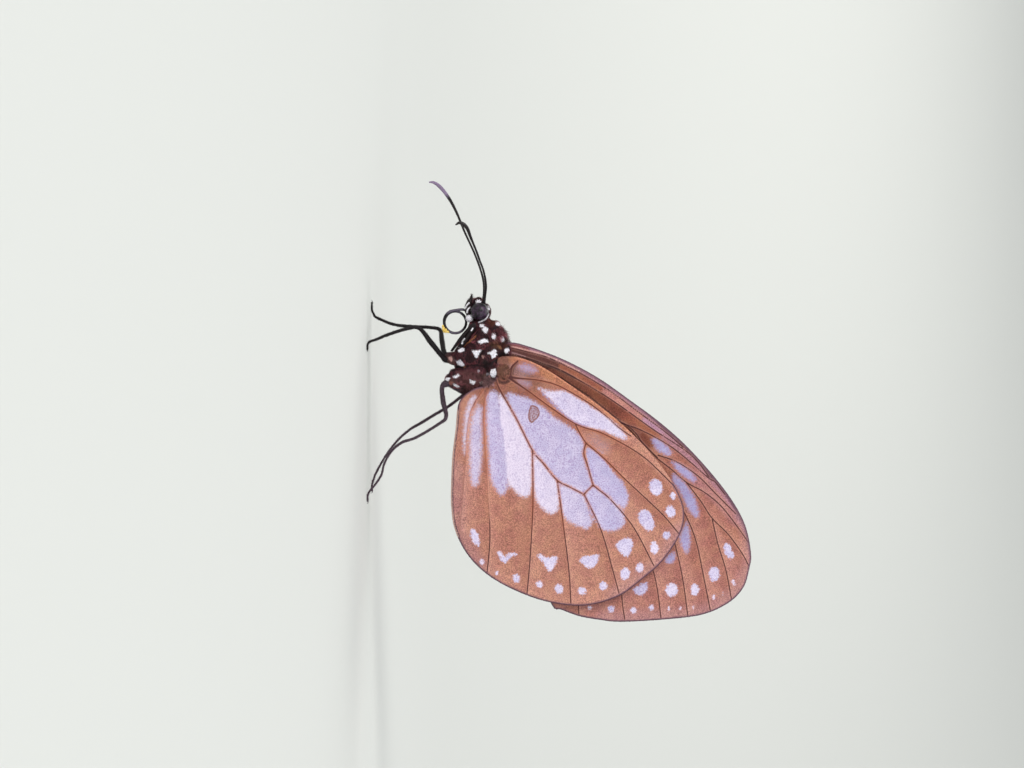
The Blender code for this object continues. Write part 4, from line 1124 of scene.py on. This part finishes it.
def make_wings(kind, tables, base, edges, rest, flare, material):
    """Both wings of a kind; edges holds its pale edge, bare edge, brown and faint veins and pale fringe."""
    outline, veins, patches, spots, strokes = tables
    edges = [in_depth(line, rest) for line in edges]
    marks = [(smooth(in_depth(ring, rest), 0.35, closed=True), *rest_of_mark)
             for ring, *rest_of_mark in patches]
    marks += [(oval(in_depth([spot[:2]], rest)[0], *spot[2:5]), *spot[5:], 0.0) for spot in spots]
    strokes = [(in_depth(stroke[0], rest), *stroke[1:]) for stroke in strokes]
    rings = [mark[0] for mark in marks]
    if kind == "hindwing":
        rings.append(smooth(drawn(CELL_RING), 0.25, closed=True))
    veins = [in_depth(vein, rest) for vein in veins.values()]
    rim, lines, points, triangles = wing_plan(in_depth(outline, rest), veins, rings, strokes)
    looks = wing_looks(points, rim, lines, marks, strokes, base, edges)
    from_vein = lines_distance(points, lines)
    ridge = np.sqrt(np.maximum(vein_radius(points) ** 2 - from_vein ** 2, 0.0))
    half = np.maximum(MEMBRANE_HALF, ridge)
    from_rim = -ring_distance(points, rim)
    half = np.where(from_rim < 0.3, np.minimum(half, MEMBRANE_HALF + from_rim * 0.3), half)
    centre = wing_side(points, rest, flare) - QUILTING * ease(from_vein / 1.6) * ease(from_rim / 1.5)
    rng = np.random.default_rng(len(kind) + len(veins))
    for side, hand in SIDES:
        node_name = kind + "_" + hand
        made = wing_solid(node_name + "_scaled", side, points, triangles, centre, half, looks)
        present(made, material, [node_name])
        edge = fringe(node_name + "_fringe", side, rim, lambda spots: wing_side(spots, rest, flare),
                      lambda spots: wing_looks(spots, rim, lines, [], strokes, base, edges), edges[-1], rng)
        present(edge, material)


# Body

def ellipsoid(column, row, side, radii, turn=0.0):
    """The centre of an ellipsoid and what makes it from a unit ball; turn tips it about Y, in degrees."""
    centre = Vector(lift(flat(column, row), side) * MM)
    size = Matrix.Diagonal((*(radius * MM for radius in radii), 1.0))
    return centre, Matrix.Translation(centre) @ Matrix.Rotation(math.radians(turn), 4, "Y") @ size


def ball(work, *shape):
    """Add an ellipsoid to the body's rough mass."""
    bmesh.ops.create_uvsphere(work, u_segments=32, v_segments=20, radius=1.0, matrix=ellipsoid(*shape)[1])


def loft(work, table, shrink, ring_depth=0.0, rings=0):
    """Add a closed body through sections, with dents between its rings."""
    stations = []
    for row, back, belly, half_width in table:
        x, top = flat(back, row)
        bottom = flat(belly, row)[1]
        stations.append((x, (top + bottom) / 2, (top - bottom) / 2, half_width))
    hoops = []
    stations = smooth(stations, 0.2)
    for x, z, half_height, half_width in stations:
        share = (x - stations[0][0]) / (stations[-1][0] - stations[0][0])
        dent = shrink
        if rings:
            dent += ring_depth * (1.0 - abs(math.sin(math.pi * rings * share))) ** 3
        hoop = []
        for angle in np.linspace(0.0, math.tau, HOOP_POINTS, endpoint=False):
            y = MIDPLANE_Y + max(half_width - dent, 0.1) * math.cos(angle)
            up = z + max(half_height - dent, 0.1) * math.sin(angle)
            hoop.append(work.verts.new((x * MM, y * MM, up * MM)))
        hoops.append(hoop)
    for first, second in zip(hoops, hoops[1:]):
        for number in range(HOOP_POINTS):
            following = (number + 1) % HOOP_POINTS
            work.faces.new((first[number], first[following], second[following], second[number]))
    work.faces.new(hoops[0])
    work.faces.new(hoops[-1])


def from_grooves(seen):
    """How far points of the side view are from the nearest groove."""
    return lines_distance(seen, [smooth(drawn(line), 0.3) for line in GROOVES])


def hair_tint(places, rng):
    """Brown hair, some of it paler, light and dark in clumps."""
    tint = np.tile(linear(HAIR_BROWN), (len(places), 1))
    dye(tint, 0.6 * rng.uniform(0.0, 1.0, len(places)) ** 2.5, linear(HAIR_PALE))
    heads = places[rng.choice(len(places), HAIR_CLUMPS)]
    group = np.empty(len(places), int)
    for start in range(0, len(places), 4000):
        away = ((places[start:start + 4000, None] - heads[None]) ** 2).sum(axis=2)
        group[start:start + 4000] = away.argmin(axis=1)
    tint *= np.exp(rng.normal(-0.2, 0.6, len(heads)))[group][:, None]
    return tint


def body_tint(places, rng=None):
    """Colours of skin or hair roots at places on the body, their share of a mark, and how near one is."""
    seen = places[:, ::2]
    on_side = np.abs(places[:, 1] - MIDPLANE_Y) > 0.5
    on_abdomen = ease((places[:, 0] - flat(0, ABDOMEN_ROW)[0]) / 1.0)
    low = ease((flat(BELLY_COLUMN, 0)[1] - places[:, 2]) / 1.5) * on_abdomen
    bare = rng is None
    tint = np.tile(linear(SKIN_DARK), (len(places), 1)) if bare else hair_tint(places, rng)
    dye(tint, 0.7 * low, linear(BELLY_BROWN))
    relief = 0.7 if bare else np.clip(tint / linear(HAIR_BROWN), 0.35, 1.5)
    for outline, colour in BODY_AREAS:
        share = near(ring_distance(seen, drawn(outline)), -0.25, 0.5) * on_side
        dye(tint, share, linear(colour) * relief)
    # Painted shade in the grooves between the plates: darker along them on the body's sides
    tint *= (1.0 - 0.75 * near(from_grooves(seen), 0.0, 0.28) * on_side)[:, None]
    marks = [(ring_distance(seen, drawn(outline)), colour) for outline, colour in BODY_MARKS]
    nearest = np.min([away for away, _ in marks], axis=0)
    # The lines include the painted highlight along the front leg
    marks += [(line_distance(seen, smooth(drawn(line), 0.2)) - half_width, colour)
              for line, half_width, colour in BODY_LINES]
    shown = np.zeros(len(places))
    for away, colour in marks:
        share = near(away, -0.02, 0.06) * on_side
        dye(tint, share, linear(colour))
        shown = np.maximum(shown, share)
    return tint, shown, nearest


def body_map(places):
    """A wrap of the body: along it, and round its own middle line."""
    start, end = (flat(0, row)[0] for row in BODY_ROWS)
    along = (places[:, 0] - start) / (end - start)
    middle = np.interp(places[:, 0], *drawn(BODY_MIDDLE).T)
    angle = np.arctan2(places[:, 2] - middle, places[:, 1] - MIDPLANE_Y)
    return np.stack([0.01 + np.clip(along, 0.0, 1.0) * 0.98, 0.01 + (angle / math.tau + 0.5) * 0.98], axis=1)


def make_body(material):
    """Head, thorax and abdomen as one skin without seams."""
    work = bmesh.new()
    loft(work, THORAX, COAT_DEPTH)
    loft(work, ABDOMEN, 0.03, 0.10, ABDOMEN_SEGMENTS)
    ball(work, *HEAD_PLACE, 0.0, HEAD_RADII)
    for column, row, radii in HEAD_SWELLINGS:
        ball(work, column, row, 0.0, radii)
    for side, _ in SIDES:
        for column, row, out, radii, turn in SIDE_SWELLINGS:
            ball(work, column, row, out * side, radii, turn)
    made = object_from(work, "body")
    weld = made.modifiers.new("skin", "REMESH")
    weld.mode = "VOXEL"
    weld.voxel_size = SKIN_STEP * MM
    soften = made.modifiers.new("soften", "SMOOTH")
    soften.factor = 0.5
    soften.iterations = 4
    bpy.context.view_layer.update()
    depsgraph = bpy.context.evaluated_depsgraph_get()
    final = bpy.data.meshes.new_from_object(made.evaluated_get(depsgraph))
    made.modifiers.clear()
    made.data = final
    final.shade_smooth()
    places = corners_of(made)
    normals = np.empty(len(places) * 3, np.float32)
    final.vertices.foreach_get("normal", normals)
    on_side = np.abs(places[:, 1] - MIDPLANE_Y) > 0.8
    sunk = GROOVE_DEPTH * near(from_grooves(places[:, ::2]), 0.0, 0.35) * on_side
    places -= normals.reshape(-1, 3) * sunk[:, None]
    move_corners(made, places)
    store(made, "tint", body_tint(places)[0])
    bake_map(made, body_map(places))
    present(made, material, ["head", "thorax", "abdomen"])
    return made


def surface_samples(item, count, rng):
    """Random places on a mesh, spread by area, with their normals."""
    item.data.calc_loop_triangles()
    total = len(item.data.loop_triangles)
    corner = np.empty(total * 3, np.int32)
    item.data.loop_triangles.foreach_get("vertices", corner)
    places = corners_of(item)[corner.reshape(-1, 3)]
    across = np.cross(places[:, 1] - places[:, 0], places[:, 2] - places[:, 0])
    area = np.linalg.norm(across, axis=1)
    picked = rng.choice(total, count, p=area / area.sum())
    first, second = rng.uniform(0.0, 1.0, (2, count, 1))
    over = first + second > 1.0
    first, second = np.where(over, 1.0 - first, first), np.where(over, 1.0 - second, second)
    start, right, left = places[picked].transpose(1, 0, 2)
    return start + first * (right - start) + second * (left - start), across[picked] / area[picked][:, None]


def tufts(name, roots, normals, lie, length, width, rise, tint, wrap):
    """Tapered, bent three-sided hairs in one mesh, each a small patch of the bake map."""
    lie = unit(lie - (lie * normals).sum(axis=1)[:, None] * normals)
    start_way = unit(normals * rise[:, None] + lie)
    end_way = start_way * 0.6 + lie * 0.6
    across = np.cross(normals, lie)
    length = length[:, None]
    width = width[:, None]
    middle = roots + start_way * length * 0.5
    tip = middle + end_way * length * 0.5
    rings = []
    for centre, size in ((roots - normals * 0.04, 1.0), (middle, 0.8)):
        rings += [centre + across * width * size, centre - across * width * size,
                  centre + normals * width * size * 0.7]
    corners = np.stack([*rings, tip], axis=1).reshape(-1, 3)
    count = len(TUFT_PATCH)
    faces = [tuple(start + corner for corner in face)
             for start in range(0, len(corners), count) for face in TUFT_FACES]
    made = mesh_from(name, corners, faces)
    store(made, "tint", np.repeat(tint, count, axis=0))
    bake_map(made, np.repeat(wrap, count, axis=0) + np.tile(TUFT_PATCH, (len(wrap), 1)))
    return made


def root_samples(rng):
    """Places and normals of the tufts over the outer faces of the hindwings' roots."""
    ring = drawn(ROOT_TUFT)
    points = rng.uniform(ring.min(axis=0), ring.max(axis=0), (ROOT_HAIRS, 2))
    points = points[-ring_distance(points, ring) > rng.uniform(0.0, 0.7, len(points))]
    away = wing_side(points, HINDWING_REST, HINDWING_FLARE) + 0.08
    spots = [lift(points, side * away) for side, _ in SIDES]
    normals = [np.tile([0.0, side, 0.0], (len(points), 1)) for side, _ in SIDES]
    return np.vstack(spots), np.vstack(normals)


def coat(body, material):
    """Hair over the whole body, long on the back and short elsewhere, and white scale spots."""
    rng = np.random.default_rng(COAT_SEED)
    spots, normals = surface_samples(body, COAT_SAMPLES, rng)
    root_spots, root_normals = root_samples(rng)
    spots = np.vstack([spots, root_spots])
    normals = np.vstack([normals, root_normals])
    count = len(spots)
    on_root = np.arange(count) >= COAT_SAMPLES
    side = np.abs(spots[:, 1] - MIDPLANE_Y)
    up = normals[:, 2]
    row = spots[:, 0] * PER_MM + MIDDLE_ROW
    column = spots[:, 2] * PER_MM + FLOOR_COLUMN
    eye_away = np.linalg.norm(spots[:, ::2] - flat(*EYE_PLACE), axis=1)
    clear_of_eye = (eye_away > EYE_CLEARANCE) | (side < 0.35)
    tint, white, nearest = body_tint(spots, rng)
    marked = (white > 0.5) & ~on_root
    heads = root_spots[rng.choice(len(root_spots), ROOT_CLUMPS)]
    clump = ((root_spots[:, None] - heads[None]) ** 2).sum(axis=2).argmin(axis=1)
    tint[on_root] = linear(ROOT_TUFT_GREY) * np.exp(rng.normal(-0.6, 0.7, ROOT_CLUMPS))[clump][:, None]
    first_row, last_row = LONG_HAIR_ROWS
    on_back = ease((up - 0.1) / 0.6) * ease((row - first_row) / 5) * near(row, last_row, 10)
    on_head = row < HEAD_END_ROW
    on_nape = on_head & (column > NAPE_COLUMN)
    on_abdomen = row > ABDOMEN_ROW
    length = np.where(on_abdomen, ABDOMEN_HAIR, THORAX_HAIR + BACK_HAIR * on_back)
    length = np.where(on_head, HEAD_HAIR + 0.2 * ease(up), length) * (0.6 + 0.4 * ease(nearest / 0.5))
    length = np.where(on_root, ROOT_HAIR, np.where(marked, MARK_HAIR, length)) * rng.uniform(0.7, 1.3, count)
    width = np.where(marked, MARK_HAIR_WIDTH, HAIR_WIDTH) * rng.uniform(0.8, 1.25, count)
    rise = np.where(marked, 0.25, 0.4 + 0.8 * on_back) * rng.uniform(0.6, 1.4, count)
    lie = np.tile([1.0, 0.0, 0.0], (count, 1)) + rng.normal(0.0, 0.35, (count, 3))
    lie += np.where(on_head & ~on_nape, -1.6, 0.0)[:, None] * [1.0, 0.0, -0.15]
    lie[:, 2] += np.where(on_abdomen | on_head, 0.0, 0.3)
    lie[on_root] += rng.normal(0.0, 0.6, (on_root.sum(), 3))
    behind_wing = (column > HIDDEN_FROM[0]) & (row > HIDDEN_FROM[1]) & ~on_root
    keep = clear_of_eye & ~behind_wing & ((rng.uniform(0, 1, count) < 0.75) | marked)
    wrap = body_map(spots)
    groups = {"coat_head": keep & on_head, "coat_thorax": keep & ~on_head & ~on_abdomen & ~on_root,
              "coat_abdomen": keep & on_abdomen, "coat_wing_roots": on_root}
    for name, chosen in groups.items():
        numbers = np.flatnonzero(chosen)[:COAT_PIECE_LIMIT]
        parts = [values[numbers] for values in (spots, normals, lie, length, width, rise, tint, wrap)]
        present(tufts(name, *parts), material)


def make_eye(hand, side, material):
    work = bmesh.new()
    centre, place = ellipsoid(*EYE_PLACE, EYE_SIDE * side, EYE_RADII)
    bmesh.ops.create_icosphere(work, subdivisions=6, radius=1.0, matrix=place)
    made = object_from(work, "compound_eye_" + hand)
    places = corners_of(made) - np.array(centre) / MM
    round_way = np.arctan2(places[:, 2], places[:, 0]) / math.tau + 0.5
    bake_map(made, np.stack([round_way, np.clip(places[:, 1] / 2.4 + 0.5, 0.0, 1.0)], axis=1))
    store(made, "edge", np.hypot(places[:, 0], places[:, 2]) / EYE_RADII[0])
    present(made, material, ["eye_" + hand])


# Limbs and feelers

def ringed_tube(name, path, radii, sides=TUBE_SIDES):
    """A closed round tube through path, with its own radius at each point."""
    path = np.asarray(path)
    ahead = unit(np.gradient(path, axis=0))
    upward = np.cross(ahead[0], [0.0, 1.0, 0.1])
    corners = []
    for place, way, radius in zip(path, ahead, radii):
        upward = upward - way * (upward @ way)
        upward /= np.linalg.norm(upward)
        sideways = np.cross(way, upward)
        for angle in np.linspace(0.0, math.tau, sides, endpoint=False):
            corners.append(place + radius * (math.cos(angle) * upward + math.sin(angle) * sideways))
    faces = []
    for hoop in range(len(path) - 1):
        for number in range(sides):
            first = hoop * sides + number
            second = hoop * sides + (number + 1) % sides
            faces.append((second, second + sides, first + sides, first))
    faces.append(tuple(range(sides))[::-1])
    faces.append(tuple(range(len(corners) - sides, len(corners))))
    made = mesh_from(name, corners, faces)
    around = np.tile(np.linspace(0.01, 0.99, sides), len(path))
    along = np.repeat(np.linspace(0.01, 0.99, len(path)), sides)
    bake_map(made, np.stack([along, around], axis=1))
    return made


def limb_path(stations, step, mirror=1.0):
    """Places and radii along a limb."""
    marks = smooth([(*lift(flat(column, row), side * mirror), radius)
                    for column, row, side, radius in stations], step)
    return marks[:, :3], marks[:, 3]


def along_path(path):
    steps = np.linalg.norm(np.diff(path, axis=0), axis=1)
    return np.concatenate([[0.0], np.cumsum(steps)])


def leg_hairs(name, path, radii, count, length, rng, tint):
    """Fine bristles along a limb, leaning towards its end; tint is linear, one or one for each place."""
    ahead = unit(np.gradient(path, axis=0))
    picked = rng.integers(1, len(path) - 2, count)
    way = ahead[picked]
    outward = rng.normal(0.0, 1.0, (count, 3))
    outward = unit(outward - (outward * way).sum(axis=1)[:, None] * way)
    roots = path[picked] + way * rng.uniform(-0.05, 0.05, (count, 1)) + outward * radii[picked][:, None]
    roots[:, 2] = np.maximum(roots[:, 2], 0.06)
    tints = np.broadcast_to(tint, (len(path), 3))[picked] * rng.uniform(0.6, 1.5, (count, 1))
    wrap = np.stack([0.02 + 0.96 * picked / len(path), rng.uniform(0.02, 0.98, count)], axis=1)
    hair = tufts(name, roots, outward, way, rng.uniform(0.6, 1.2, count) * length,
                 np.full(count, BRISTLE_WIDTH), rng.uniform(0.15, 0.6, count), tints, wrap)
    places = corners_of(hair)
    if places[:, 2].min() < 0.0:
        places[:, 2] = np.maximum(places[:, 2], 0.005)
        move_corners(hair, places)
    return hair


def make_leg(node_name, stations, look, tint, materials, rng):
    path, radii = limb_path(stations, 0.09)
    travel = along_path(path)
    tarsus = ease((travel - travel[-1] * TARSUS_START) / 1.0)
    joints = TARSUS_JOINT_DEPTH * np.abs(np.sin(math.pi * travel / TARSUS_JOINT)) ** 0.6
    radii = radii * (1.0 - tarsus * 0.12 + tarsus * joints)
    leg = ringed_tube(node_name + "_skin", path, radii)
    present(leg, look, [node_name])
    count = int(travel[-1] * BRISTLES_PER_MM)
    hair = leg_hairs(node_name + "_bristles", path, radii, count, BRISTLE_LENGTH, rng, linear(tint))
    present(hair, materials["hair"])


def make_claws(node_name, stations, material):
    """A pair of small hooked claws at the end of a walking leg."""
    path, _ = limb_path(stations, 0.2)
    way = unit(path[-1] - path[-4])
    across = np.cross(way, [0.0, 0.0, 1.0])
    for number, (side, _) in enumerate(SIDES):
        start = path[-1] - way * 0.1 + across * side * 0.04
        marks = smooth([(*(start + way * ahead + across * side * out + [0, 0, up]), radius)
                        for ahead, out, up, radius in CLAW], 0.04)
        marks[:, 2] = np.maximum(marks[:, 2], marks[:, 3])
        claw = ringed_tube(f"{node_name}_claw_{number + 1}", marks[:, :3], marks[:, 3], 8)
        present(claw, material)


def make_antenna(node_name, stations, club_start, materials, rng):
    """A ringed feeler whose club is lilac from club_start of its length on."""
    path, radii = limb_path(stations, 0.05)
    travel = along_path(path)
    rings = 1.0 - FEELER_RING_DEPTH * (1.0 - np.abs(np.sin(math.pi * travel / FEELER_RING))) ** 3
    feeler = ringed_tube(node_name + "_ringed", path, radii * rings)
    tints = blend(FEELER_BLACK, CLUB_LILAC, ease((travel / travel[-1] - club_start) / 0.05))
    store(feeler, "tint", np.repeat(tints, TUBE_SIDES, axis=0))
    present(feeler, materials["skin"], [node_name])
    hair = leg_hairs(node_name + "_scales", path, radii, FEELER_SCALES, FEELER_SCALE_LENGTH, rng, tints * 1.8)
    present(hair, materials["hair"])


def make_small_limb(kind, hand, side, materials, rng):
    """A palp or a folded front leg: dark skin with white streaks, and hair."""
    limb = SMALL_LIMBS[kind]
    path, radii = limb_path(limb["path"], limb["step"], side)
    skin = ringed_tube(f"{kind}_skin_{hand}", path, radii, limb["sides"])
    places = corners_of(skin)
    tint = np.tile(linear(limb["skin"]), (len(places), 1))
    for streak in limb["streaks"]:
        away = line_distance(places[:, ::2], smooth(drawn(streak), 0.2))
        dye(tint, near(away, limb["streak_half"], 0.05), linear(SPOT_WHITE))
    store(skin, "tint", tint)
    present(skin, materials["skin"], [f"{kind}_{hand}"])
    hair = leg_hairs(f"{kind}_hair_{hand}", path, radii, limb["hairs"], limb["hair_length"], rng,
                     linear(limb["hair"]))
    present(hair, materials["hair"])


def make_tongue(materials, rng):
    """The coiled tongue: from the head over the coil's top and round it, with a dab of pollen."""
    path = list(lift(drawn(TONGUE_BASE), 0.0))
    centre = flat(*COIL_CENTRE)
    for number in range(int(POINTS_IN_TURN * COIL_TURNS) + 1):
        turns = number / POINTS_IN_TURN
        radius = COIL_RADIUS + 0.12 * near(turns, 0.0, 0.3) - 0.03 * turns
        angle = math.tau * turns + 0.35
        spot = centre + np.array([-math.cos(angle), -math.sin(angle)]) * radius
        path.append(lift(spot, 0.30 * ease(turns - 0.35) + 0.12 * ease((turns - 1.3) / 0.6)))
    path = smooth(path, 0.06)
    share = np.linspace(0.0, 1.0, len(path))
    radii = COIL_THICKNESS / 2 * (1.0 - 0.12 * share) * (1.0 + 0.03 * np.sin(share * 260.0))
    radii[-8:] *= np.linspace(1.0, 0.3, 8)
    tongue = ringed_tube("tongue_coil", path, radii)
    # Painted highlights: grey-violet where the tube's sides face the camera, near the coil's top and bottom
    middles = np.repeat(path, TUBE_SIDES, axis=0)
    facing = np.abs(corners_of(tongue)[:, 1] - middles[:, 1]) / np.repeat(radii, TUBE_SIDES)
    ends = ease((np.abs(middles[:, 0] - centre[0]) / COIL_RADIUS - 0.6) / 0.35)
    store(tongue, "tint", blend(TONGUE_BLACK, TONGUE_SHINE, ease((facing - 0.55) / 0.35) * ends))
    present(tongue, materials["tongue"], ["proboscis"])

    work = bmesh.new()
    last = POLLEN_GRAINS - 1
    for number in range(POLLEN_GRAINS):
        angle = 0.36 + 0.56 * number / last
        reach = COIL_RADIUS + 0.2 + 0.26 * math.sin(math.pi * number / last) * (number % 3) / 2
        dab = centre + np.array([math.sin(angle), -math.cos(angle)]) * reach
        spot = lift(dab, 0.0) + rng.normal(0.0, 1.0, 3) * [0.06, 0.08, 0.06]
        bmesh.ops.create_icosphere(work, subdivisions=2, radius=rng.uniform(0.11, 0.17) * MM,
                                   matrix=Matrix.Translation(Vector(spot * MM)))
    present(object_from(work, "pollen_dab"), materials["pollen"])


# Stage

def make_floor():
    """A pale floor that curves up slowly all round."""
    work = bmesh.new()
    profile = [(0.0, 0.0), (FLOOR_FLAT, 0.0)]
    for angle in np.linspace(0.0, math.pi / 3, 24)[1:]:
        profile.append((FLOOR_FLAT + FLOOR_CURVE * math.sin(angle), FLOOR_CURVE * (1.0 - math.cos(angle))))
    points = [work.verts.new((x * MM, 0.0, z * MM)) for x, z in profile]
    edges = [work.edges.new(pair) for pair in zip(points, points[1:])]
    bmesh.ops.spin(work, geom=points + edges, axis=(0, 0, 1), cent=(0, 0, 0), angle=math.tau,
                   steps=FLOOR_STEPS, use_merge=True)
    bmesh.ops.remove_doubles(work, verts=work.verts, dist=1e-6)
    bmesh.ops.recalc_face_normals(work, faces=work.faces)
    floor = object_from(work, "floor")
    paper, shader, _ = new_material("pale_paper", 0.85, specular=0.2)
    shader.inputs["Base Color"].default_value = (*linear(FLOOR_GREY), 1.0)
    floor.data.materials.append(paper)


def make_lights():
    for name, spot, size, power, colour in LAMPS:
        light = bpy.data.lights.new(name, "AREA")
        light.size = size * MM
        light.energy = power
        light.color = colour
        lamp = new_object(name, light)
        lamp.location = Vector(spot) * MM
        aim = Vector(LAMPS_AIM) * MM - lamp.location
        lamp.rotation_euler = aim.to_track_quat("-Z", "Y").to_euler()
    world = bpy.data.worlds.new("studio")
    world.use_nodes = True
    background = world.node_tree.nodes["Background"]
    background.inputs["Color"].default_value = SKY_TINT
    background.inputs["Strength"].default_value = SKY_STRENGTH
    bpy.context.scene.world = world
    bpy.context.scene.view_settings.view_transform = "Standard"


def make_camera():
    lens = bpy.data.cameras.new("camera")
    lens.sensor_width = SENSOR_WIDTH
    lens.lens = SENSOR_WIDTH * CAMERA_DISTANCE / (PICTURE_WIDTH / PER_MM)
    lens.clip_start = 0.01
    camera = new_object("camera", lens)
    x, z = flat(*PICTURE_CENTRE)
    turn = Matrix(((0.0, -1.0, 0.0), (0.0, 0.0, -1.0), (1.0, 0.0, 0.0))).to_4x4()
    spot = Vector((x, FACING_WING_Y - CAMERA_DISTANCE, z)) * MM
    camera.matrix_world = Matrix.Translation(spot) @ turn
    bpy.context.scene.camera = camera


def main():
    make_floor()
    make_lights()
    make_camera()
    materials = {
        "wing": wing_material(), "skin": skin_material("body_skin", 0.5), "hair": hair_material(),
        "eye": eye_material(), "tongue": skin_material("tongue_skin", 0.3),
        "midleg": horn_material("midleg_scales", *MIDLEG_GRAIN, 0.5, 7.0),
        "hindleg": horn_material("hindleg_scales", *HINDLEG_GRAIN, 0.45, 7.0),
        "pollen": horn_material("pollen_grains", *POLLEN_GRAIN, 0.7, 8.0)}
    make_wings("hindwing",
               (HINDWING_OUTLINE, HINDWING_VEINS, HINDWING_PATCHES, HINDWING_SPOTS, HINDWING_STROKES),
               TERRACOTTA, (HINDWING_PALE_EDGE, HINDWING_BARE_EDGE, HINDWING_BROWN_VEINS,
                            HINDWING_FAINT_VEINS, HINDWING_PALE_EDGE),
               HINDWING_REST, HINDWING_FLARE, materials["wing"])
    make_wings("forewing",
               (FOREWING_OUTLINE, FOREWING_VEINS, FOREWING_PATCHES, FOREWING_SPOTS, FOREWING_STROKES),
               FOREWING_TERRACOTTA, (NO_EDGE, NO_EDGE, NO_EDGE, NO_EDGE, FOREWING_PALE_FRINGE),
               FOREWING_REST, FOREWING_FLARE, materials["wing"])
    body = make_body(materials["skin"])
    coat(body, materials["hair"])
    rng = np.random.default_rng(LIMB_SEED)
    for side, hand in SIDES:
        make_eye(hand, side, materials["eye"])
        make_small_limb("palp", hand, side, materials, rng)
        make_small_limb("foreleg", hand, side, materials, rng)
    for node_name, stations in WALKING_LEGS.items():
        kind = node_name.split("_")[0]
        make_leg(node_name, stations, materials[kind], BRISTLES[kind], materials, rng)
        make_claws(node_name, stations, materials[kind])
    # The two clubs are alike: the left one is kept black as painted shade, and only the right one is lilac
    make_antenna("antenna_left", ANTENNA_LEFT, 1.0, materials, rng)
    make_antenna("antenna_right", ANTENNA_RIGHT, CLUB_START, materials, rng)
    make_tongue(materials, rng)


main()
